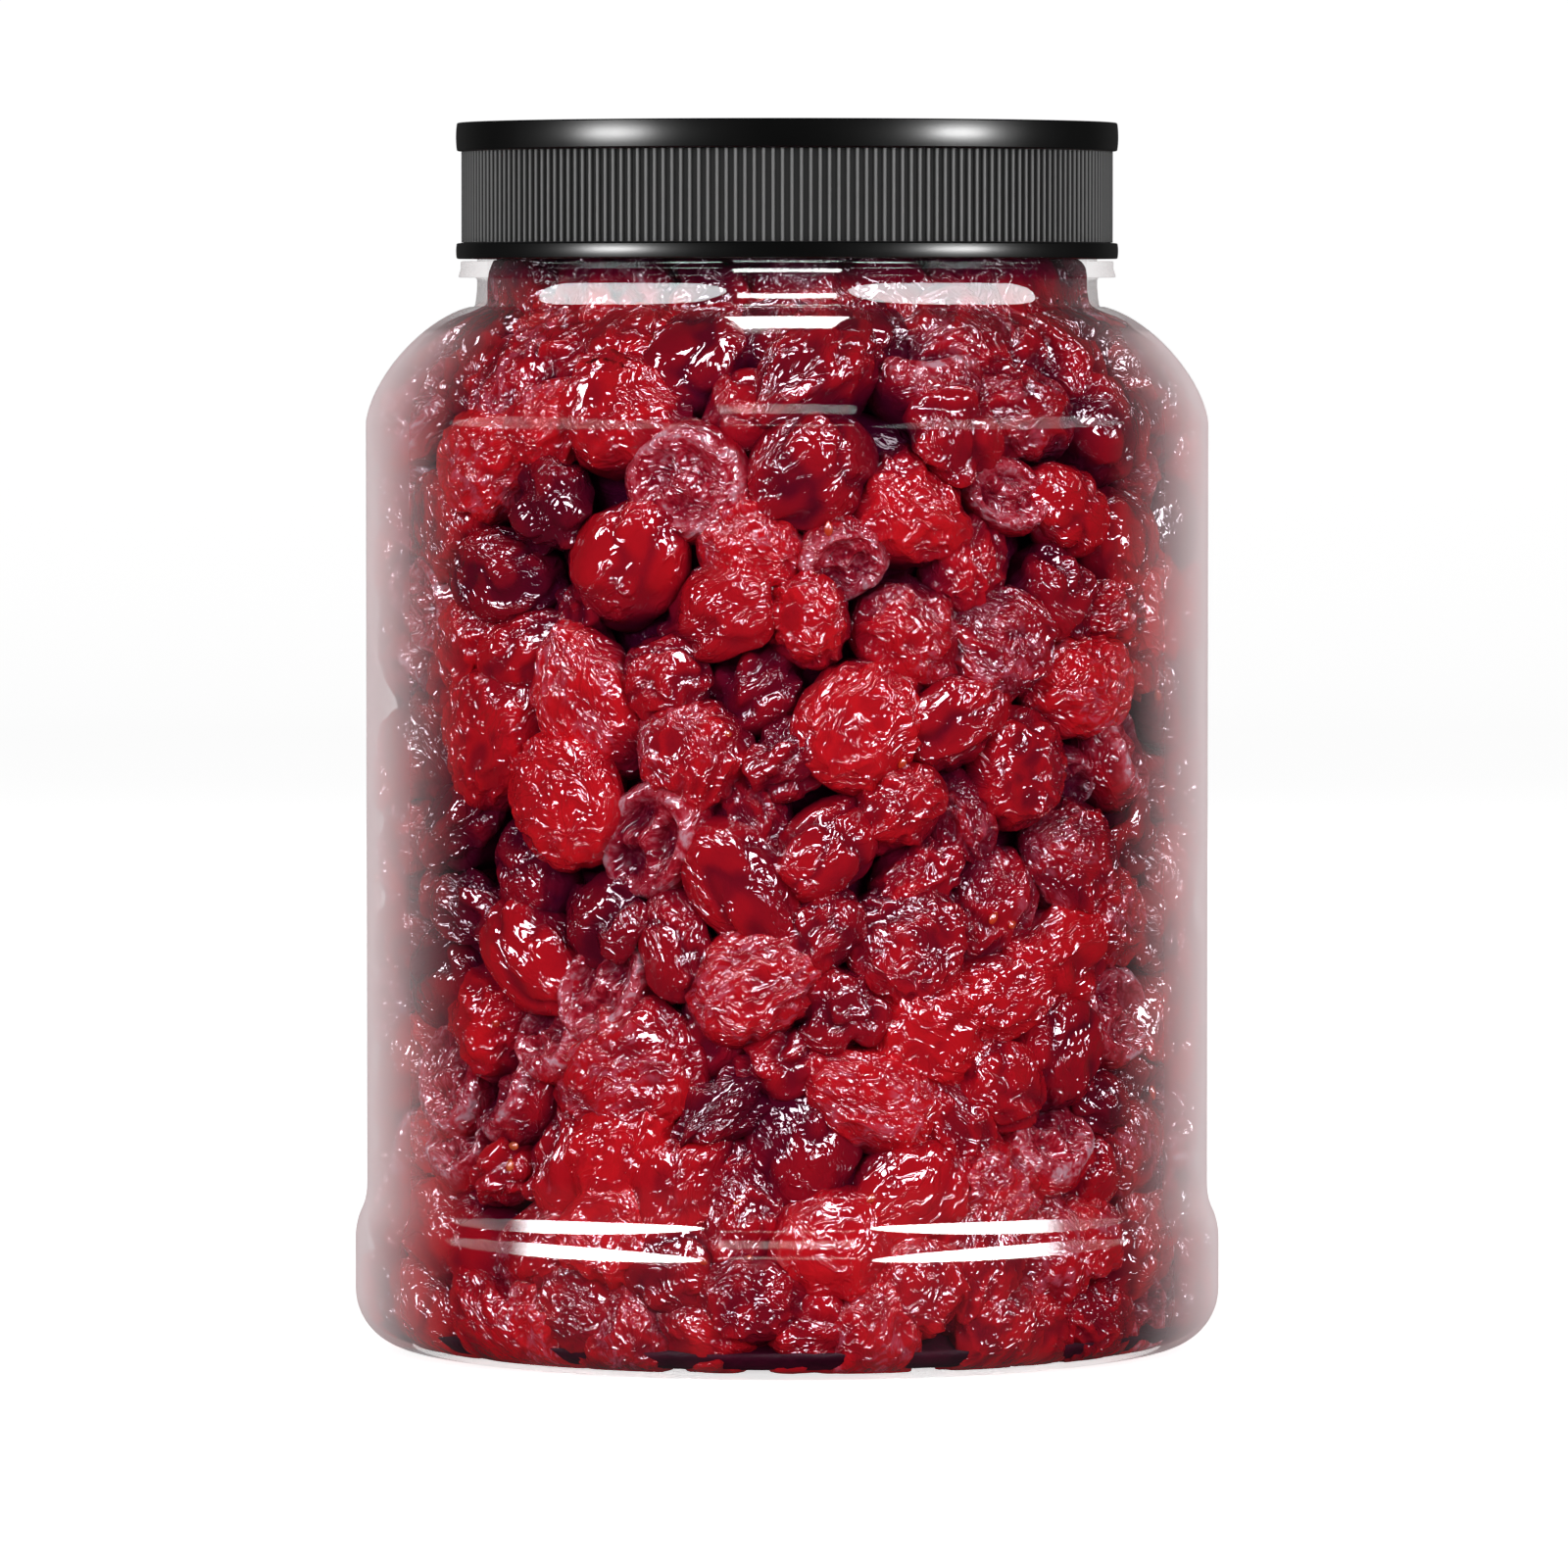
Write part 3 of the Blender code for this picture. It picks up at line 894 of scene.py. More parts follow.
@dataclass
class Jar:
    """The clear jar: foot band, straight body, sloping shoulder, neck with its collar, and pushed-up base.

    Radii and heights are of the outer face.
    """

    body_radius: float = 0.0541
    foot_radius: float = 0.0556
    neck_radius: float = 0.0398
    collar_radius: float = 0.0422
    foot_top: float = 0.0134
    flare_top: float = 0.0212
    flare_middle: float = 0.0174
    flare_slope: float = math.radians(34.0)
    flare_exponent: float = 1.35
    body_top: float = 0.1185
    shoulder_top: float = 0.1336
    neck_bottom: float = 0.1338
    neck_crease: float = 0.0005
    neck_slope: float = math.radians(9.5)
    collar_draft: float = math.radians(18.0)
    collar_lip: float = 0.0009
    collar_edge: float = 0.0002
    rim_edge: float = 0.0004
    collar_bottom: float = 0.1372
    collar_top: float = 0.1393
    rim: float = 0.1550
    shoulder_exponent: float = 1.55
    shoulder_end: float = math.radians(83.0)
    base_corner: float = 0.0073
    standing_ring: float = 0.0360
    push_up_radius: float = 0.0300
    push_up: float = 0.0022
    wall: float = 0.0008
    neck_wall: float = 0.0013
    steps: int = 180
    finish: ClearPlastic = field(default_factory=ClearPlastic)

    def shoulder(self, inset: float, steps: int = 22) -> list[Point]:
        """The shoulder from the body up to the neck.

        Args:
            inset: how far inside the outer face it runs.
            steps: how many pieces it has.

        Returns:
            The points, a superellipse that ends just short of the neck.
        """
        low, high = self.body_radius - inset, self.neck_radius
        height = self.shoulder_top - inset - self.body_top
        points = [(low, self.body_top - gap) for gap in SMOOTHING]
        for i in range(steps + 1):
            turn = self.shoulder_end * i / steps
            out = math.cos(turn) ** (2 / self.shoulder_exponent)
            up = math.sin(turn) ** (2 / self.shoulder_exponent)
            points.append((high + (low - high) * out, self.body_top + height * up))
        return points

    def flare(self, inset: float, steps: int = 30) -> list[Point]:
        """The soft step from the foot band up to the body, steepest in its middle.

        Args:
            inset: how far inside the outer face it runs.
            steps: how many pieces it has.

        Returns:
            The points, an S-curve whose slope rises and falls again.
        """
        heights = np.linspace(self.foot_top, self.flare_top, steps + 1)
        low = np.clip((heights - self.foot_top) / (self.flare_middle - self.foot_top), 0, 1)
        high = np.clip((self.flare_top - heights) / (self.flare_top - self.flare_middle), 0, 1)
        slope = np.tan(self.flare_slope * np.minimum(low, high) ** self.flare_exponent)
        grown = np.concatenate([[0.0], np.cumsum((slope[1:] + slope[:-1]) / 2)])
        radii = self.foot_radius - (self.foot_radius - self.body_radius) * grown / grown[-1] - inset
        points = [(float(radius), float(height)) for radius, height in zip(radii, heights)]
        points += [(self.body_radius - inset, self.flare_top + gap) for gap in reversed(SMOOTHING)]
        return points

    def neck(self) -> list[Point]:
        """The hollow curve of the neck, from the crease over the shoulder up to the collar.

        Returns:
            The points: a tight turn out of the shoulder, then a long, nearly upright one.
        """
        height = self.collar_bottom - self.rim_edge - self.neck_bottom
        out, up, turn = math.cos(self.neck_slope), math.sin(self.neck_slope), math.degrees(self.neck_slope)
        wide, tight = height / up, self.neck_crease
        foot = self.neck_radius + wide * (1 - out)
        line = Outline().arc((foot + tight * out, self.neck_bottom + tight * up), tight, 245, 180 + turn, 6)
        return line.arc((self.neck_radius + wide, self.neck_bottom + height), wide, 180 + turn, 180, 8).points

    def outside(self) -> list[Point]:
        """The outer profile.

        Returns:
            The points from the base's centre to the rim.
        """
        ring, corner, edge = self.standing_ring, self.base_corner, self.rim_edge
        line = Outline().to(0.0, self.push_up)
        for share in (0.35, 0.7, 0.9, 1.0):
            line.to(self.push_up_radius * share, self.push_up * (1 - (1 - PUSH_UP_RIM) * share**4))
        line.to((self.push_up_radius + ring) / 2, self.push_up * 0.45).to(ring, 0.00006).to(ring + 0.001, 0.0)
        line.arc((self.foot_radius - corner, corner), corner, -90, 0, 14)
        line.curve(self.flare(0.0)).curve(self.shoulder(0.0)).curve(self.neck())
        line.arc((self.neck_radius + edge, self.collar_bottom - edge), edge, 180, 90, 4)
        line.curve(self.collar()).to(self.neck_radius, self.collar_top)
        return line.arc((self.neck_radius - edge, self.rim - edge), edge, 0, 90, 4).points

    def collar(self) -> list[Point]:
        """The collar's own profile: a drafted lip, a small ledge and an upright face.

        Returns:
            The points from its lower edge to its upper one.
        """
        small, draft = self.collar_edge, math.tan(self.collar_draft)
        upper = self.collar_radius - self.collar_lip * draft
        ledge = self.collar_bottom + small + self.collar_lip
        line = Outline()
        centre = (self.collar_radius - small, self.collar_bottom + small)
        line.arc(centre, small, -90, math.degrees(self.collar_draft), 5)
        line.to(upper + 0.0001 * draft, ledge - 0.0001).to(upper, ledge).to(upper, ledge + 0.00008)
        line.to(upper, self.collar_top - 2 * small)
        return line.arc((upper - small, self.collar_top - small), small, 0, 90, 4).points

    def inside(self) -> list[Point]:
        """The inner profile.

        Returns:
            The points from the base's centre to the rim.
        """
        corner, wall, neck = self.base_corner, self.wall, self.neck_radius - self.neck_wall
        line = Outline().to(0.0, self.push_up + wall)
        line.to(self.push_up_radius, self.push_up * PUSH_UP_RIM + wall).to(self.standing_ring, wall)
        line.arc((self.foot_radius - corner, corner), corner - wall, -90, 0, 10)
        line.curve(self.flare(wall)).curve(self.shoulder(wall))
        line.to(neck + 0.0003, self.shoulder_top).to(neck, self.shoulder_top + 0.0010).to(neck, self.rim)
        return line.points

    def build(self) -> bpy.types.Object:
        """Builds the jar as one closed wall that only the viewer sees: it doesn't shade its contents.

        Returns:
            The piece.
        """
        mesh = turned_mesh("clear_jar", self.inside() + self.outside()[::-1], self.steps)
        self.dress(mesh)
        made = piece("clear_jar", mesh, Slot.CLEAR, "jar")
        made.visible_shadow = made.visible_diffuse = made.visible_glossy = made.visible_transmission = False
        return made

    def dress(self, mesh: bpy.types.Mesh) -> None:
        """Gives the outer faces the glossy finish and the inner ones the faint one.

        Args:
            mesh: the jar's mesh.
        """
        mesh.materials.append(self.finish.make())
        mesh.materials.append(self.finish.make_inside())
        inner, outer = np.array(self.inside()), np.array(self.outside())
        for polygon in mesh.polygons:
            place = np.array((math.hypot(polygon.center.x, polygon.center.y), polygon.center.z))
            polygon.material_index = int(distance(place, inner) < distance(place, outer))


@dataclass
class Lid:
    """The screw lid: a plain upper band, fine grip ribs, a plain lower band and a shallow top panel."""

    radius: float = 0.0425
    inner_radius: float = 0.0403
    bottom: float = 0.1396
    underside: float = 0.1553
    top: float = 0.1570
    panel_radius: float = 0.0385
    panel_drop: float = 0.0006
    panel_edge: float = 0.0003
    panel_bevel: float = 0.00008
    grip_gap: float = 0.0001
    grip_bottom: float = 0.1417
    grip_top: float = 0.1533
    rib_count: int = 222
    rib_root: float = 0.0412
    rib_height: float = 0.00060
    rib_share: float = 0.52
    edge: float = 0.0002
    swell: float = math.radians(7.0)
    steps: int = 222
    finish: BlackPlastic = field(default_factory=BlackPlastic)
    # The ribs' light grey further out is a painted highlight on their crests.
    rib_finish: BlackPlastic = field(
        default_factory=lambda: BlackPlastic(
            "ribbed_plastic", (0.055, 0.055, 0.055), (0.34, 0.34, 0.34), roughness=0.45, shine=0.0
        )
    )

    def outline(self) -> list[Point]:
        """The whole profile.

        Returns:
            The points from the middle of the top round to the middle of the underside.
        """
        panel = self.top - self.panel_drop
        line = Outline().to(0.0, panel).to(self.panel_radius - self.panel_edge, panel)
        line.to(self.panel_radius + self.panel_drop * 0.7, self.top - self.panel_bevel)
        line.to(self.panel_radius + self.panel_drop, self.top)
        line.curve(self.band(self.top, self.grip_top + self.grip_gap))
        line.to(self.rib_root, self.grip_top).to(self.rib_root, self.grip_bottom)
        line.curve(self.band(self.grip_bottom - self.grip_gap, self.bottom))
        line.to(self.inner_radius, self.bottom).to(self.inner_radius, self.underside).to(0.0, self.underside)
        return line.points

    def band(self, high: float, low: float) -> list[Point]:
        """One plain band, swelling slightly, with small rounds at its edges.

        Args:
            high: its upper edge.
            low: its lower edge.

        Returns:
            The points from the upper edge down to the lower one.
        """
        points = Outline()
        middle, half = (high + low) / 2, (high - low) / 2
        sag = half * math.tan(self.swell / 2)
        for side in (1, -1):
            corner = (self.radius - sag - self.edge, middle + side * (half - self.edge))
            swell = [self.radius - sag * (i / 8) ** 2 for i in range(9)]
            rise = [middle + side * (half - self.edge) * i / 8 for i in range(9)]
            if side > 0:
                points.arc(corner, self.edge, 90, 14, 5)
                points.curve(list(zip(swell, rise))[:0:-1])
            else:
                points.curve(zip(swell, rise))
                points.arc(corner, self.edge, -14, -90, 5)
        return points.points

    def rib_tree(self) -> tuple[bpy.types.NodeTree, dict[str, str]]:
        """The tree that sets one rib after another round the axis.

        Returns:
            The tree, and its inputs' identifiers by name.
        """
        lengths = ("Root radius", "Rib height", "Rib width", "Low", "High")
        sockets = {"Count": "Int"} | dict.fromkeys(lengths, "Float") | {"Finish": "Material"}
        tree, names = new_tree("grip_ribs", sockets)
        w = Wiring(tree)
        given = w.node("NodeGroupInput").outputs
        round_axis = {"Resolution": given["Count"], "Radius": given["Root radius"]}
        ring = w.node("GeometryNodeCurvePrimitiveCircle", round_axis)
        tall = w.node("ShaderNodeCombineXYZ", {2: w.math("SUBTRACT", given["High"], given["Low"])})
        run = w.node("GeometryNodeCurvePrimitiveLine", {"End": tall.outputs[0]})
        bow = w.node("GeometryNodeCurvePrimitiveCircle", {"Resolution": 10, "Radius": 0.5})
        bar = w.node("GeometryNodeCurveToMesh", {0: run.outputs[0], 1: bow.outputs[0], "Fill Caps": True})
        size = w.node("ShaderNodeCombineXYZ", {0: given["Rib height"], 1: given["Rib width"], 2: 1.0})
        tangent = w.node("GeometryNodeInputTangent").outputs[0]
        turn = w.node("FunctionNodeAlignRotationToVector", {"Vector": tangent}, axis="Y", pivot_axis="Z")
        stock = {"Points": ring.outputs[0], "Instance": bar.outputs[0]}
        stock |= {"Rotation": turn.outputs[0], "Scale": size.outputs[0]}
        ribs = w.node("GeometryNodeInstanceOnPoints", stock)
        real = w.node("GeometryNodeRealizeInstances", {0: ribs.outputs[0]})
        lift = w.node("ShaderNodeCombineXYZ", {2: given["Low"]})
        moved = w.node("GeometryNodeTransform", {"Geometry": real.outputs[0], "Translation": lift.outputs[0]})
        ended = w.node("GeometryNodeSetMaterial", {"Geometry": moved.outputs[0], "Material": given["Finish"]})
        w.node("NodeGroupOutput", {0: ended.outputs[0]})
        return tree, names

    def build(self) -> list[bpy.types.Object]:
        """Builds the lid's shell, whose grooves take the ribs' finish, and its ring of ribs.

        Returns:
            The two pieces, which the gloss of other pieces doesn't mirror.
        """
        grip = self.rib_finish.make()
        shell = turned_mesh("lid_shell", self.outline(), self.steps)
        shell.materials.append(self.finish.make())
        shell.materials.append(grip)
        for polygon in shell.polygons:
            reach, height = math.hypot(polygon.center.x, polygon.center.y), polygon.center.z
            is_groove = abs(reach - self.rib_root) < self.edge and self.grip_bottom < height < self.grip_top
            polygon.material_index = int(is_groove)
        shell.set_sharp_from_angle(angle=math.radians(40))
        values = {
            "Count": self.rib_count,
            "Root radius": self.rib_root,
            "Rib height": 2 * self.rib_height,
            "Rib width": 2 * math.pi * self.rib_root / self.rib_count * self.rib_share,
            "Low": self.grip_bottom,
            "High": self.grip_top,
            "Finish": grip,
        }
        tree, names = self.rib_tree()
        start = bpy.data.meshes.new("ribs")
        ribs = grown_mesh("lid_ribs", start, tree, {names[name]: value for name, value in values.items()})
        ribs.shade_smooth()
        ribs.set_sharp_from_angle(angle=math.radians(50))
        made = [piece("lid_shell", shell, Slot.BLACK, "lid"), piece("lid_ribs", ribs, Slot.BLACK)]
        for part in made:
            part.visible_glossy = False
        return made


def new_tree(name: str, sockets: dict[str, str]) -> tuple[bpy.types.NodeTree, dict[str, str]]:
    """A geometry tree with named inputs and one geometry output.

    Args:
        name: the tree's name.
        sockets: the inputs' names, and what kind of socket each one is.

    Returns:
        The tree, and its inputs' identifiers by name.
    """
    tree = bpy.data.node_groups.new(name, "GeometryNodeTree")
    names = {}
    for title, kind in sockets.items():
        made = tree.interface.new_socket(title, in_out="INPUT", socket_type="NodeSocket" + kind)
        names[title] = made.identifier
    tree.interface.new_socket("Geometry", in_out="OUTPUT", socket_type="NodeSocketGeometry")
    return tree, names


def grown_mesh(
    name: str, start: bpy.types.Mesh, tree: bpy.types.NodeTree, values: dict[str, object]
) -> bpy.types.Mesh:
    """Runs a geometry tree on a mesh and keeps what it makes as a plain mesh.

    Args:
        name: the new mesh's name.
        start: the mesh that the tree starts from.
        tree: the geometry tree.
        values: a value for each input, by the socket's identifier.

    Returns:
        The plain mesh.
    """
    host = bpy.data.objects.new(name + "_host", start)
    bpy.context.scene.collection.objects.link(host)
    modifier = host.modifiers.new("grow", "NODES")
    modifier.node_group = tree
    for identifier, value in values.items():
        modifier[identifier] = value
    graph = bpy.context.evaluated_depsgraph_get()
    mesh = bpy.data.meshes.new_from_object(host.evaluated_get(graph))
    mesh.name = name
    host.modifiers.remove(modifier)
    bpy.data.objects.remove(host)
    return mesh


@dataclass(frozen=True)
class Grown:
    """How one kind of berry is shaped, in shares of its half length, where negative folds go in."""

    lumps: float
    folds: float
    fold_scale: float
    fold_width: float
    taper: float = 0.0
    share: float = 0.0
    is_cut: bool = False
    is_fine: bool = True


@dataclass(frozen=True)
class Ring:
    """A row of berries round the jar: how many, how far out, how high, and how steeply they face up."""

    count: int
    reach: float
    height: float
    rise: float


@dataclass
class Heap:
    """The dried cranberries: a layer pressed on the wall, one inside it, loose seeds and a dark core."""

    jar: Jar
    length: float = 0.0146
    width: float = 0.0122
    thickness: float = 0.0108
    spread: float = 0.16
    size_range: tuple[float, float] = (0.82, 1.28)
    pitch: float = 0.0112
    slide: float = 0.0024
    top: float = 0.1396
    tilt: float = math.radians(38)
    bite: float = 0.00015
    press: float = 0.0005
    push: float = 0.0006
    sunk_share: float = 0.28
    sunk: float = 0.0034
    yield_share: float = 0.75
    # Painted shade on the berries: from none to full with the depth behind the wall, and with the height
    # under the lid.
    lit_depth: float = 0.0010
    dark_depth: float = 0.0062
    shade_from: float = 0.1340
    shade_to: float = 0.1385
    depth: float = 0.0078
    inner_pitch: float = 0.0150
    rings: tuple[Ring, ...] = (
        Ring(29, 0.0489, 0.0054, -0.7),
        Ring(25, 0.0408, 0.0058, -1.5),
        Ring(21, 0.0340, 0.1333, 0.0),
    )
    ring_slide: float = 0.0005
    ring_lift: float = 0.0006
    crowding: float = 0.90
    settle_steps: int = 40
    settle_share: float = 0.20
    fine_from: tuple[float, float] = (-0.05, 0.39)
    lump_scale: float = 0.75
    fold_drift: float = 0.8
    fold_drift_scale: float = 1.2
    seed_count: int = 64
    seed_half: tuple[float, float, float] = (0.00085, 0.00060, 0.00045)
    seed_range: tuple[float, float] = (0.85, 1.2)
    seed_pinch: float = 0.35
    seed_depth: float = 0.0012
    seed_margin: float = 0.006
    core_depth: float = 1.1
    bed: float = 0.0037
    bed_gap: float = 0.0005
    bed_width: float = 0.0020
    bed_rise: float = 0.0040
    seed: int = 7
    kinds: dict[Kind, Grown] = field(
        default_factory=lambda: {
            Kind.PLUMP: Grown(0.24, -0.09, 0.8, 0.10, taper=0.10, share=0.21),
            Kind.WRINKLED: Grown(0.28, 0.10, 1.7, 0.12, taper=0.26, share=0.23),
            Kind.CREASED: Grown(0.30, -0.22, 0.8, 0.16, taper=0.18, share=0.21),
            Kind.FROSTED: Grown(0.28, 0.11, 1.4, 0.14, taper=0.22, share=0.19),
            Kind.CUT: Grown(0.24, 0.04, 1.3, 0.12, share=0.16, is_cut=True),
            Kind.INNER: Grown(0.30, -0.16, 1.0, 0.16, is_fine=False),
        }
    )

    def guide(self, inset: float) -> np.ndarray:
        """Where the middles of a layer of berries lie.

        Args:
            inset: how far inside the wall's inner face that is.

        Returns:
            The profile's points, as rows of radius and height, from the floor's middle to the top's middle.
        """
        wall = np.array(self.jar.inside())
        along = np.concatenate([[0.0], np.cumsum(np.hypot(*np.diff(wall, axis=0).T))])
        even = np.linspace(0, along[-1], 200)
        line = np.stack([np.interp(even, along, wall[:, i]) for i in (0, 1)], 1)
        way = np.gradient(line, axis=0)
        way /= np.hypot(*way.T)[:, None]
        line += inset * np.stack([-way[:, 1], way[:, 0]], 1)
        kept = [spot for spot in line if spot[1] < self.top - inset and distance(spot, wall) > inset * 0.98]
        kept = [(0.0, kept[0][1]), *kept, (kept[-1][0], self.top - inset), (0.0, self.top - inset)]
        return np.array(kept)

    def side(self, inset: float) -> np.ndarray:
        """The part of a layer's profile that lies along the upright wall.

        Args:
            inset: how far inside the wall's inner face the layer is.

        Returns:
            The profile's points, their heights rising.
        """
        line = self.guide(inset)[:-1]
        return line[int(np.argmin(np.where(line[:, 0] > self.jar.push_up_radius, line[:, 1], 1.0))) :]

    def places(self, profile: np.ndarray, pitch: float, draw: Draw) -> tuple[np.ndarray, np.ndarray]:
        """Places spread evenly over a turned surface, a golden angle apart, then slid at random.

        Args:
            profile: the surface's profile.
            pitch: the side of the square that one berry has to itself.
            draw: the random numbers.

        Returns:
            The places, and the outward direction at each.
        """
        golden = math.pi * (3 - math.sqrt(5))
        run = np.hypot(*np.diff(profile, axis=0).T)
        middle = (profile[1:, 0] + profile[:-1, 0]) / 2
        area = np.concatenate([[0.0], np.cumsum(2 * math.pi * middle * run)])
        count = round(area[-1] / pitch**2)
        spots, outs = [], []
        for i in range(count):
            share = area[-1] * (i + 0.5) / count
            k = int(np.searchsorted(area, share)) - 1
            near, far = profile[k], profile[k + 1]
            radius, height = near + (far - near) * (share - area[k]) / (area[k + 1] - area[k])
            along = (far - near) / np.hypot(*(far - near))
            slid, aside = draw.uniform(-self.slide, self.slide, 2)
            spin = Matrix.Rotation(i * golden, 4, "Z")
            spots.append(spin @ Vector((radius + slid * along[0], aside, height + slid * along[1])))
            outs.append(spin @ Vector((along[1], 0.0, -along[0])))
        return np.array(spots), np.array(outs)

    def fixed_rings(self, draw: Draw) -> tuple[np.ndarray, np.ndarray]:
        """The rows of berries that fill the corner of the base and the neck.

        Args:
            draw: the random numbers.

        Returns:
            The places, and the outward direction at each.
        """
        spots, outs = [], []
        for ring in self.rings:
            for i in range(ring.count):
                around = 2 * math.pi * (i + draw.uniform(-0.25, 0.25)) / ring.count
                out = ring.reach + draw.uniform(-self.ring_slide, self.ring_slide)
                height = ring.height + draw.uniform(-self.ring_lift, self.ring_lift)
                spots.append((out * math.cos(around), out * math.sin(around), height))
                outs.append(Vector((math.cos(around), math.sin(around), ring.rise)).normalized())
        return np.array(spots), np.array(outs)

    def settle(self, spots: np.ndarray, sizes: np.ndarray, sunk: np.ndarray, fixed: int) -> np.ndarray:
        """Lets crowded berries push each other aside, each keeping to its own depth behind the wall.

        Args:
            spots: the places.
            sizes: each berry's mean half size.
            sunk: how far behind the wall's layer each one lies.
            fixed: how many of them, from the first on, stay where they are.

        Returns:
            The new places.
        """
        held = spots[:fixed].copy()
        side = self.side(self.thickness / 2 - self.push)
        floor = self.jar.wall + self.jar.push_up + self.thickness / 2 - self.push
        spots = spots.copy()
        for _ in range(self.settle_steps):
            apart = spots[:, None] - spots[None]
            gap = np.linalg.norm(apart, axis=2) + np.eye(len(spots))
            crowd = np.clip(self.crowding * (sizes[:, None] + sizes[None]) - gap, 0, None)
            crowd *= 1 - np.eye(len(spots))
            spots += self.settle_share * (apart / gap[..., None] * crowd[..., None]).sum(1)
            reach = np.hypot(spots[:, 0], spots[:, 1])
            limit = np.interp(spots[:, 2], side[:, 1], side[:, 0]) - sunk
            is_side = (spots[:, 2] > floor + 0.002) & (spots[:, 2] < self.top - self.thickness)
            goal = np.where(is_side, limit, np.minimum(reach, limit))
            spots[:, :2] *= (goal / np.maximum(reach, MERGE))[:, None]
            low = floor - self.jar.push_up * np.clip((reach - self.jar.push_up_radius) / 0.004 + 1, 0, 1)
            high = self.top - self.thickness * 0.4
            spots[:, 2] = np.clip(spots[:, 2], low + np.minimum(sunk, self.depth), high)
            spots[:fixed] = held
        return spots

    def berry_tree(self) -> tuple[bpy.types.NodeTree, dict[str, str]]:
        """The tree that sets one crumpled berry at each place.

        Returns:
            The tree, and its inputs' identifiers by name.
        """
        sizes = ("Half length", "Lumps", "Folds", "Fold scale", "Fold width")
        sockets = {"Places": "Geometry", "Stock": "Object"} | dict.fromkeys(sizes, "Float")
        tree, names = new_tree("berries", sockets | {"Finish": "Material"})
        w = Wiring(tree)
        given = w.node("NodeGroupInput").outputs
        stock = w.node("GeometryNodeObjectInfo", {"Object": given["Stock"]}).outputs["Geometry"]
        berry = {"Points": given["Places"], "Instance": stock}
        berry |= {"Rotation": w.carried("turn", "QUATERNION"), "Scale": w.carried("size", "FLOAT_VECTOR")}
        placed = w.node("GeometryNodeInstanceOnPoints", berry)
        real = w.node("GeometryNodeRealizeInstances", {0: placed.outputs[0]}).outputs[0]
        local = w.vector("ADD", w.carried("local", "FLOAT_VECTOR"), w.carried("seed", "FLOAT_VECTOR"))
        drift = w.noise(local, self.fold_drift_scale, 1.0, colour=True)
        drift = w.vector("SUBTRACT", drift, (0.5, 0.5, 0.5))
        bent = w.vector("ADD", local, w.vector("SCALE", drift, self.fold_drift))
        lump = w.math("SUBTRACT", w.noise(local, self.lump_scale, 1.0), 0.5)
        off = w.math("ABSOLUTE", w.math("SUBTRACT", w.noise(bent, given["Fold scale"], 1.0), 0.5))
        near = w.math("SUBTRACT", 1.0, w.math("DIVIDE", off, given["Fold width"]), clamp=True)
        fold = w.remap(near, 0.0, 1.0)
        height = w.times(lump, given["Lumps"])
        height = w.plus(height, w.times(fold, given["Folds"]))
        tall = w.times(height, given["Half length"])
        push = w.vector("SCALE", w.node("GeometryNodeInputNormal").outputs[0], tall)
        moved = w.node("GeometryNodeSetPosition", {"Geometry": real, "Offset": push}).outputs[0]
        # Painted shade and light kept for the skin: below zero where a fold goes in, above zero where it
        # stands out.
        shade = w.times(w.math("SIGN", given["Folds"]), fold)
        kept = w.keep(moved, "fold", "FLOAT", shade)
        kept = w.keep(kept, "grain", "FLOAT_VECTOR", local)
        ended = w.node("GeometryNodeSetMaterial", {"Geometry": kept, "Material": given["Finish"]})
        w.node("NodeGroupOutput", {0: ended.outputs[0]})
        return tree, names

    def stock(self, kind: Kind) -> bpy.types.Object:
        """The plain berry that a kind's tree repeats: finer on its outward side, hollowed where it is cut.

        Args:
            kind: the kind of berry.

        Returns:
            A loose object, a ball of radius one.
        """
        plan = self.kinds[kind]
        shape = bmesh.new()
        bmesh.ops.create_icosphere(shape, subdivisions=3 if plan.is_fine else 2, radius=1.0)
        for low in self.fine_from if plan.is_fine else ():
            front = [edge for edge in shape.edges if all(vert.co.z > low for vert in edge.verts)]
            bmesh.ops.subdivide_edges(shape, edges=front, cuts=1, use_grid_fill=True)
            bmesh.ops.triangulate(shape, faces=shape.faces)
            for vert in shape.verts:
                vert.co.normalize()
        layers = {name: shape.verts.layers.float_vector.new(name) for name in ("local", "fibre")}
        layers |= {name: shape.verts.layers.float.new(name) for name in ("cut", "rim")}
        for vert in shape.verts:
            vert[layers["local"]] = vert.co
            if plan.is_cut and vert.co.z > 0:
                self.open_cut(vert, layers)
            narrow = 1 - plan.taper * vert.co.x * abs(vert.co.x) ** 0.5
            tip = plan.taper * 0.5 * max(vert.co.x, 0) ** 4
            vert.co = Vector((vert.co.x + tip, vert.co.y * narrow, vert.co.z * narrow))
        mesh = bpy.data.meshes.new(kind.value + "_stock")
        shape.to_mesh(mesh)
        shape.free()
        made = bpy.data.objects.new(kind.value + "_stock", mesh)
        bpy.context.scene.collection.objects.link(made)
        return made

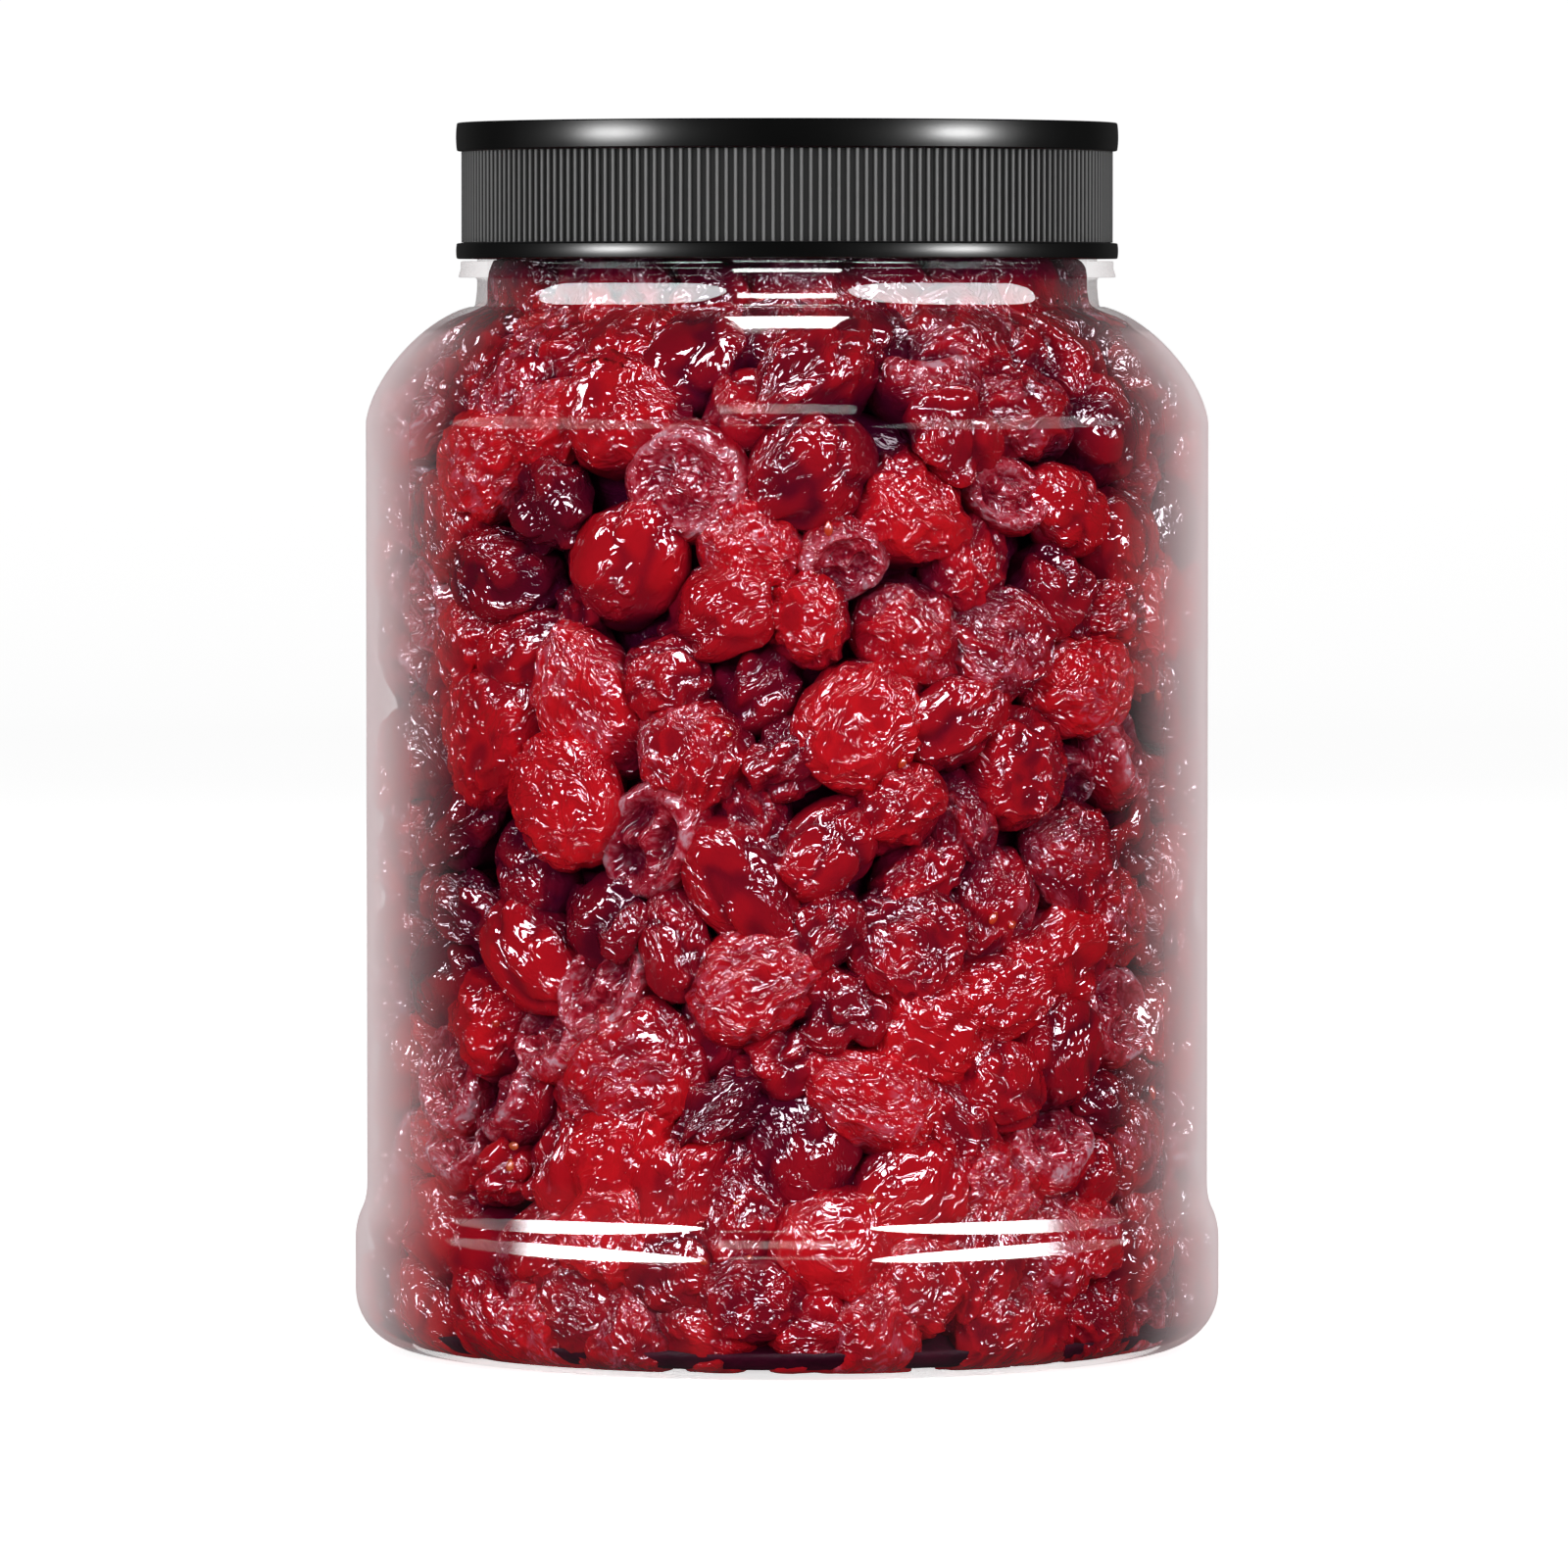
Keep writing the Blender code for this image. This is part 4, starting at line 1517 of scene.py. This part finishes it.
    def open_cut(self, vert: bmesh.types.BMVert, layers: dict[str, object]) -> None:
        """Moves a point of the outward half to the open inside of a cut berry: rim, walls and hollows.

        Args:
            vert: the point, on a ball of radius one.
            layers: the layers that the look of the flesh is kept in, by name.
        """
        reach = math.hypot(vert.co.x, vert.co.y)
        angle = math.atan2(vert.co.y, vert.co.x)
        wave = 0.07 * math.sin(2 * angle + 0.7) + 0.04 * math.sin(5 * angle)
        rim = math.exp(-(((reach - 0.80 - wave) / 0.13) ** 2))
        hollow = max(0.0, 1 - ((reach - 0.38) / 0.30) ** 2)
        walls = abs(math.cos(1.5 * angle + 0.6 * reach)) ** 5
        edge = max(0.0, 1 - reach**10)
        stem = math.exp(-((reach / 0.16) ** 2))
        vert.co.z = edge * (0.50 + 0.12 * rim - 0.24 * hollow * (1 - walls) + 0.08 * stem)
        vert[layers["cut"]] = min(1.0, max(0.0, (0.95 + 0.5 * wave - reach) / 0.08))
        vert[layers["rim"]] = rim
        vert[layers["fibre"]] = Vector((math.cos(angle) * 0.9, math.sin(angle) * 0.9, reach * 3.2))

    def cloud(self, kind: Kind, spots: np.ndarray, turns: list[Quaternion], sizes: np.ndarray,
              draw: Draw) -> bpy.types.Mesh:
        """The points that a kind's berries grow on, with what each berry carries.

        Args:
            kind: the kind of berry.
            spots: the places.
            turns: each berry's rotation.
            sizes: each berry's half sizes.
            draw: the random numbers.

        Returns:
            The mesh of loose points.
        """
        mesh = bpy.data.meshes.new(kind.value + "_places")
        mesh.from_pydata(spots.tolist(), [], [])
        count = len(spots)
        carried = (
            ("turn", "QUATERNION", "value", np.array([list(turn) for turn in turns])),
            ("size", "FLOAT_VECTOR", "vector", sizes),
            ("seed", "FLOAT_VECTOR", "vector", draw.uniform(0, 90, (count, 3))),
            ("tone", "FLOAT", "value", draw.uniform(0, 1, count)),
        )
        for name, data_type, key, values in carried:
            layer = mesh.attributes.new(name, data_type, "POINT")
            layer.data.foreach_set(key, np.asarray(values, np.float32).ravel())
        return mesh

    def press_on_wall(self, mesh: bpy.types.Mesh) -> None:
        """Flattens what would pass the wall or the floor, and notes each point's painted shade from its depth
        behind the wall and its height under the lid.

        A pressed berry bites only just into the wall, so that no air gap shows.

        Args:
            mesh: the berries, in place. It gets the attribute "deep", painted shade from 0 at the wall to 1
                deep in the heap or under the lid.
        """
        co = np.empty(len(mesh.vertices) * 3, np.float32)
        mesh.vertices.foreach_get("co", co)
        co = co.reshape(-1, 3).astype(float)
        limit, lean = self.wall_at(co[:, 2])
        reach = np.hypot(co[:, 0], co[:, 1])
        over = reach - (limit - self.press)
        soft = limit - self.press * np.exp(-np.clip(over, 0, None) / self.press)
        co[:, :2] *= np.where(over > 0, soft / np.maximum(reach, MERGE), 1.0)[:, None]
        reach = np.hypot(co[:, 0], co[:, 1])
        # Painted shade: darker with the depth behind the wall, and near the top where the lid would shade.
        behind = np.clip(limit - reach, 0, None) / np.hypot(1, lean)
        far = (behind - self.lit_depth) / (self.dark_depth - self.lit_depth)
        high = (co[:, 2] - self.shade_from) / (self.shade_to - self.shade_from)
        share = np.clip(np.maximum(far, high), 0, 1)
        deep = mesh.attributes.new("deep", "FLOAT", "POINT")
        deep.data.foreach_set("value", (share * share * (3 - 2 * share)).astype(np.float32))
        ring, dome = self.jar.standing_ring, self.jar.push_up_radius
        floor = self.jar.wall - self.bite + self.jar.push_up * np.clip((ring - reach) / (ring - dome), 0, 1)
        under = floor + self.press - co[:, 2]
        soft = floor + self.press * np.exp(-np.clip(under, 0, None) / self.press)
        co[:, 2] = np.where(under > 0, soft, co[:, 2])
        mesh.vertices.foreach_set("co", co.astype(np.float32).ravel())
        mesh.update()

    def wall_at(self, heights: np.ndarray) -> tuple[np.ndarray, np.ndarray]:
        """The wall that the berries press on, in the corner of the base as well.

        Args:
            heights: where it is asked for.

        Returns:
            How far out it is at each height, and how far out it leans for each unit up.
        """
        corner, wall = self.jar.base_corner, self.jar.wall
        profile = np.array(self.jar.inside())
        side = profile[np.argsort(profile[:, 1], kind="stable")]
        side = side[side[:, 1] > wall + corner]
        limit = np.interp(heights, side[:, 1], side[:, 0])
        drop = np.clip(corner - heights, 0, corner - wall)
        bowl = self.jar.foot_radius - corner + np.sqrt(np.maximum((corner - wall) ** 2 - drop**2, 0))
        limit = np.where(heights < corner, bowl, limit) + self.bite
        middles = (side[1:, 1] + side[:-1, 1]) / 2
        lean = np.interp(heights, middles, np.diff(side[:, 0]) / np.maximum(np.diff(side[:, 1]), MERGE))
        return limit, np.clip(lean, -6, 6)

    def build(self) -> list[bpy.types.Object]:
        """Builds every kind of berry, the seeds and the core.

        Returns:
            The pieces.
        """
        draw = np.random.default_rng(self.seed)
        half = np.array((self.length, self.width, self.thickness)) / 2
        outer, outs = self.places(self.guide(self.thickness / 2), self.pitch, draw)
        ring, ring_outs = self.fixed_rings(draw)
        inner, inner_outs = self.places(self.guide(self.thickness / 2 + self.depth), self.inner_pitch, draw)
        spots = np.vstack([ring, outer, inner])
        ways = np.vstack([ring_outs, outs, inner_outs])
        count, fixed = len(spots), len(ring)
        is_outer = np.arange(count) < fixed + len(outer)
        is_sunk = draw.random(count) < self.sunk_share
        sunk = np.where(is_sunk, draw.uniform(0.3, 1.0, count) * self.sunk, 0.0)
        sunk = np.where(is_outer, sunk, self.depth)
        sizes = half * (1 + self.spread * draw.uniform(-1, 1, (count, 3)))
        sizes *= draw.uniform(*self.size_range, (count, 1))
        sizes[:fixed] = np.maximum(sizes[:fixed], half)
        sunk[:fixed] = 0.0
        sunk += self.yield_share * np.clip(sizes[:, 2] - half[2], 0.0, None)
        spots = self.settle(spots, sizes.mean(1), sunk, fixed)
        kinds = list(self.kinds)
        shares = np.array([self.kinds[kind].share for kind in kinds])
        picked = draw.choice(len(kinds), count, p=shares / shares.sum())
        reach = np.hypot(spots[:, 0], spots[:, 1])
        is_under_lid = spots[:, 2] > self.jar.collar_bottom
        is_on_floor = (spots[:, 2] < self.thickness) & (reach < self.jar.body_radius - self.thickness)
        picked[~is_outer | is_under_lid | is_on_floor] = kinds.index(Kind.INNER)
        turns = [self.turn(way, draw) for way in ways]
        tree, names = self.berry_tree()
        made = []
        for number, kind in enumerate(kinds):
            chosen = np.flatnonzero(picked == number)
            cloud = self.cloud(kind, spots[chosen], [turns[i] for i in chosen], sizes[chosen], draw)
            made.append(self.grow(kind, cloud, tree, names))
            log.info("%s: %d berries", kind.value, len(chosen))
        return [*made, self.seeds(draw), self.core()]

    def grow(self, kind: Kind, cloud: bpy.types.Mesh, tree: bpy.types.NodeTree,
             names: dict[str, str]) -> bpy.types.Object:
        """Grows one kind of berry on its points.

        Args:
            kind: the kind of berry.
            cloud: the points.
            tree: the tree that sets the berries.
            names: the identifiers of the tree's inputs, by name.

        Returns:
            The piece.
        """
        stock, plan = self.stock(kind), self.kinds[kind]
        values = {
            "Stock": stock,
            "Half length": self.length / 2,
            "Lumps": plan.lumps,
            "Folds": plan.folds,
            "Fold scale": plan.fold_scale,
            "Fold width": plan.fold_width,
            "Finish": self.finish(kind).make(),
        }
        mesh = grown_mesh(kind.value, cloud, tree, {names[name]: value for name, value in values.items()})
        bpy.data.objects.remove(stock)
        mesh.shade_smooth()
        self.press_on_wall(mesh)
        replaced = ("cranberries",) if kind is Kind.WRINKLED else ()
        return piece(kind.value, mesh, Slot.BERRY, *replaced)

    def seeds(self, draw: Draw) -> bpy.types.Object:
        """The loose seeds that stick to the wall between the berries.

        Args:
            draw: the random numbers.

        Returns:
            The piece.
        """
        shape = bmesh.new()
        grain = shape.verts.layers.float_vector.new("grain")
        tone = shape.verts.layers.float.new("tone")
        side = self.side(self.press)
        for _ in range(self.seed_count):
            height = draw.uniform(self.seed_margin, self.jar.body_top + self.seed_margin)
            reach = float(np.interp(height, side[:, 1], side[:, 0])) - draw.uniform(0.0, self.seed_depth)
            around = draw.uniform(0, 2 * math.pi)
            out = Vector((math.cos(around), math.sin(around), 0.0))
            turn = self.turn(np.array(out), draw)
            place = Matrix.Translation(out * reach + Vector((0, 0, height))) @ turn.to_matrix().to_4x4()
            size = np.array(self.seed_half) * draw.uniform(*self.seed_range, 3)
            shade, shift = draw.random(), Vector(draw.uniform(0, 50, 3))
            for vert in bmesh.ops.create_icosphere(shape, subdivisions=2, radius=1.0)["verts"]:
                vert[grain] = vert.co + shift
                vert[tone] = shade
                pinch = 1 - self.seed_pinch * max(0.0, vert.co.x)
                vert.co = place @ (vert.co * Vector((1.0, pinch, pinch)) * Vector(size))
        mesh = bpy.data.meshes.new("seeds")
        shape.to_mesh(mesh)
        shape.free()
        mesh.shade_smooth()
        mesh.materials.append(SeedCoat().make())
        return piece("seeds", mesh, Slot.BERRY)

    def turn(self, way: np.ndarray, draw: Draw) -> Quaternion:
        """How one berry lies: its thin way outwards, leaning a little, spun at random.

        Args:
            way: the outward direction.
            draw: the random numbers.

        Returns:
            The rotation.
        """
        spin, lean_way = draw.uniform(0, 2 * math.pi, 2)
        lean = self.tilt * draw.random()
        upright = Vector(way).to_track_quat("Z", "Y")
        leaning = Quaternion((math.cos(lean_way), math.sin(lean_way), 0.0), lean)
        return upright @ leaning @ Quaternion((0.0, 0.0, 1.0), spin)

    def finish(self, kind: Kind) -> BerrySkin:
        """The finish of a kind of berry.

        Args:
            kind: the kind.

        Returns:
            The finish.
        """
        # The inner berries' darker colours are painted shade for berries deep in the heap.
        deep = (
            (0.120, 0.0020, 0.0350),
            (0.240, 0.0030, 0.0400),
            (0.360, 0.0040, 0.0350),
            (0.480, 0.0060, 0.0300),
        )
        return {
            Kind.PLUMP: BerrySkin(kind.value, wrinkle_size=2.7, calm=0.41, frosting=0.30),
            Kind.WRINKLED: BerrySkin(kind.value, calm=0.34, frosting=0.38),
            Kind.CREASED: BerrySkin(kind.value, wrinkle_size=3.1, calm=0.40, frosting=0.33),
            Kind.FROSTED: BerrySkin(kind.value, wrinkle_size=4.1, calm=0.28, frosting=0.55, bloom=0.42),
            Kind.CUT: CutFlesh(kind.value, wrinkle_size=3.6, calm=0.32, frosting=0.44, bloom=0.4),
            Kind.INNER: BerrySkin(kind.value, shades=deep),
        }[kind]

    def core(self) -> bpy.types.Object:
        """The middle of the heap, near-black as painted shade: a turned body that also lines the floor and
        its corner.

        Returns:
            The piece.
        """
        inner = self.guide(self.thickness / 2 + self.depth * self.core_depth)
        low = self.jar.wall + self.bed_gap
        rim = self.jar.push_up * PUSH_UP_RIM
        profile = [(0.0, self.jar.push_up + low), (self.jar.push_up_radius, rim + low)]
        for radius, height in self.jar.inside():
            if height < self.bed and radius > self.jar.standing_ring:
                profile.append((radius - self.bed_gap, max(height, low)))
        profile.append((profile[-1][0] - self.bed_width, self.bed))
        start = inner[0][1] + self.bed_rise
        profile += [(max(radius, 0.0), height) for radius, height in inner if height > start]
        mesh = turned_mesh("heap_core", profile, 96)
        mesh.materials.append(DeepRed().make())
        return piece("heap_core", mesh, Slot.BERRY)


@dataclass(frozen=True)
class Lamp:
    """One flat light: a soft one that lights things up, or a reflector that shows only in their gloss.

    Radiance is how bright its face is, with white paper in full light at about one.
    """

    name: str
    place: Place
    aim: Place
    size: tuple[float, float]
    radiance: float
    only: Lit | None = None
    tint: Colour = WHITE
    is_reflector: bool = False
    is_oval: bool = False

    def build(self, groups: dict[Lit, bpy.types.Collection]) -> bpy.types.Object:
        """Sets the light.

        Args:
            groups: the pieces that a light may be kept to.

        Returns:
            The light.
        """
        data = bpy.data.lights.new(self.name, "AREA")
        data.shape = "ELLIPSE" if self.is_oval else "RECTANGLE"
        data.size, data.size_y = self.size
        data.energy = self.radiance * data.size * data.size_y * math.pi
        data.color = self.tint
        made = bpy.data.objects.new(self.name, data)
        bpy.context.scene.collection.objects.link(made)
        made.location = self.place
        made.rotation_euler = (Vector(self.aim) - Vector(self.place)).to_track_quat("-Z", "Y").to_euler()
        made.visible_camera = False
        made.visible_glossy = self.is_reflector
        made.visible_diffuse = not self.is_reflector
        if self.only:
            made.light_linking.receiver_collection = groups[self.only]
        return made


@dataclass
class Studio:
    """White paper, soft lights in front and behind, reflectors for jar, lid and berries, and the camera."""

    distance: float = 1.40
    camera_height: float = 0.1350
    aim_height: float = 0.0721
    lens: float = 250.0
    sensor: float = 36.0
    off_centre: float = -0.0004
    middle: Place = (0.0, 0.0, 0.07)
    neck: Place = (0.0, 0.0, 0.135)
    berry_glint: float = 60.0
    berry_tint: Colour = (1.0, 0.88, 1.0)
    strip_glint: float = 26.0
    paper_half_width: float = 4.0
    paper_front: float = -3.0
    paper_back: float = 2.0
    paper_bend: float = 0.6
    paper_height: float = 3.0
    sky: float = 0.17
    ground: float = 0.36
    horizon: tuple[float, float] = (0.15, -0.35)
    mirrored_sky: float = 0.03

    def build(self, receivers: dict[Lit, list[bpy.types.Object]]) -> None:
        """Builds the floor, the surroundings, the lights and the camera.

        Args:
            receivers: the pieces that each set of reflectors is for.
        """
        self.paper()
        self.world()
        groups = {}
        for lit, objects in receivers.items():
            groups[lit] = bpy.data.collections.new(lit.value)
            for made in objects:
                groups[lit].objects.link(made)
        for lamp in self.lamps():
            lamp.build(groups)
        self.camera()
        view = bpy.context.scene.view_settings
        view.view_transform = "Standard"
        view.look = "None"

    def lamps(self) -> list[Lamp]:
        """The lights: the pairs at both sides, then the ones in the middle.

        Returns:
            The lamps.
        """
        lamps = []
        for side in (-1, 1):
            lamps += [
                Lamp("fill", (side * 0.70, -0.95, 0.44), self.middle, (0.60, 0.60), 4.2),
                self.reflector("softbox", (side * 0.80, -0.41, 0.30), (0.0, 0.0, 0.30), (1.55, 0.33), 11.0,
                               tint=(0.87, 0.98, 1.0), is_oval=True),
                self.reflector("lid_lamp", (side * 0.79, -0.44, 0.18), (0.0, 0.0, 0.155), (0.30, 0.12), 64.0,
                               only=Lit.LID),
                Lamp("back_fill", (side * 0.55, 1.05, 0.50), self.middle, (0.60, 0.60), 2.2),
                self.berry_lamp((side * 62, 22), (0.16, 0.33)),
                self.berry_lamp((side * 30, 20), (0.10, 0.10)),
                Lamp("side_light", (side * 0.95, -0.70, 0.12), (0.0, 0.0, 0.08), (0.50, 0.50), 5.7, Lit.JAR),
            ]
        collar_place = self.around((0, 37), 0.95)
        return [
            *lamps,
            self.berry_lamp((0, 50), (0.78, 0.27)),
            self.reflector("collar_strip", collar_place, self.neck, (0.56, 0.16), self.strip_glint),
            self.reflector("neck_strip", (0.0, -0.93, 0.329), self.neck, (0.60, 0.06), self.strip_glint),
            self.reflector("top_strip", (0.0, 0.33, 0.92), (0.0, 0.0, 0.13), (0.17, 0.26), self.strip_glint),
            Lamp("top", (0.0, -0.35, 0.95), (0.0, 0.0, 0.08), (0.70, 0.60), 0.25),
        ]

    def reflector(self, name: str, place: Place, aim: Place, size: tuple[float, float], radiance: float,
                  only: Lit = Lit.JAR, **looks: object) -> Lamp:
        """A light that shows only in the gloss of one set of pieces.

        Args:
            name: its name.
            place: where it is.
            aim: the point that it faces.
            size: its width and height.
            radiance: how bright its face is.
            only: the pieces that it is for.
            looks: its tint and shape, where they aren't plain.

        Returns:
            The lamp.
        """
        return Lamp(name, place, aim, size, radiance, only, is_reflector=True, **looks)

    def berry_lamp(self, direction: tuple[float, float], size: tuple[float, float]) -> Lamp:
        """A reflector for the berries.

        Args:
            direction: degrees round from the viewer's side, and degrees up.
            size: its width and height.

        Returns:
            The lamp.
        """
        place = self.around(direction, 0.9)
        return self.reflector("berry_lamp", place, self.middle, size, self.berry_glint, Lit.BERRIES,
                              tint=self.berry_tint)

    def around(self, direction: tuple[float, float], reach: float) -> Place:
        """A place round the jar.

        Args:
            direction: degrees round from the viewer's side, and degrees up.
            reach: how far it is from the jar's middle.

        Returns:
            The place.
        """
        turn, rise = (math.radians(angle) for angle in direction)
        flat = reach * math.cos(rise)
        return flat * math.sin(turn), -flat * math.cos(turn), 0.10 + reach * math.sin(rise)

    def paper(self) -> bpy.types.Object:
        """The wide white paper under the jar, bent up behind it.

        Returns:
            The paper.
        """
        bend, back = self.paper_bend, self.paper_back
        line = [(self.paper_front, 0.0), (back, 0.0)]
        for i in range(13):
            turn = math.radians(90) * i / 12
            line.append((back + bend * math.sin(turn), bend * (1 - math.cos(turn))))
        line.append((back + bend, self.paper_height))
        corners = [(side * self.paper_half_width, y, z) for y, z in line for side in (-1, 1)]
        faces = [(2 * i, 2 * i + 1, 2 * i + 3, 2 * i + 2) for i in range(len(line) - 1)]
        mesh = bpy.data.meshes.new("paper")
        mesh.from_pydata(corners, [], faces)
        mesh.shade_smooth()
        mesh.materials.append(StudioPaper().make())
        made = bpy.data.objects.new("paper", mesh)
        bpy.context.scene.collection.objects.link(made)
        made.visible_glossy = False
        made.visible_diffuse = False
        return made

    def world(self) -> None:
        """Dim light from all round, more of it from below, as white paper gives, and white to the viewer."""
        world = bpy.data.worlds.new("studio")
        world.use_nodes = True
        w = Wiring(world.node_tree)
        path = w.node("ShaderNodeLightPath").outputs
        way = w.node("ShaderNodeTexCoord").outputs["Generated"]
        soft = w.remap(w.parts(way)["Z"], *self.horizon, self.sky, self.ground)
        unmirrored = w.math("SUBTRACT", 1.0, path["Is Glossy Ray"])
        dim = w.math("MAXIMUM", w.times(soft, unmirrored), self.mirrored_sky)
        shade = world.node_tree.nodes["Background"]
        shade.inputs["Color"].default_value = (*WHITE, 1.0)
        w.feed(shade.inputs["Strength"], w.math("MAXIMUM", dim, path["Is Camera Ray"]))
        bpy.context.scene.world = world

    def camera(self) -> None:
        """The camera, level with the neck and looking slightly down."""
        data = bpy.data.cameras.new("camera")
        data.lens = self.lens
        data.sensor_width = self.sensor
        data.clip_start = 0.05
        made = bpy.data.objects.new("camera", data)
        bpy.context.scene.collection.objects.link(made)
        made.location = (self.off_centre, -self.distance, self.camera_height)
        aim = Vector((self.off_centre, 0.0, self.aim_height))
        made.rotation_euler = (aim - made.location).to_track_quat("-Z", "Y").to_euler()
        bpy.context.scene.camera = made


def main() -> None:
    """Builds the jar, its lid, its berries and the studio, in that order."""
    logging.basicConfig(level=logging.INFO, format="%(message)s", stream=sys.stdout)
    jar = Jar()
    clear = jar.build()
    caps = Lid().build()
    berries = Heap(jar).build()
    Studio().build({Lit.JAR: [clear], Lit.LID: caps, Lit.BERRIES: berries})


if __name__ == "__main__":
    main()
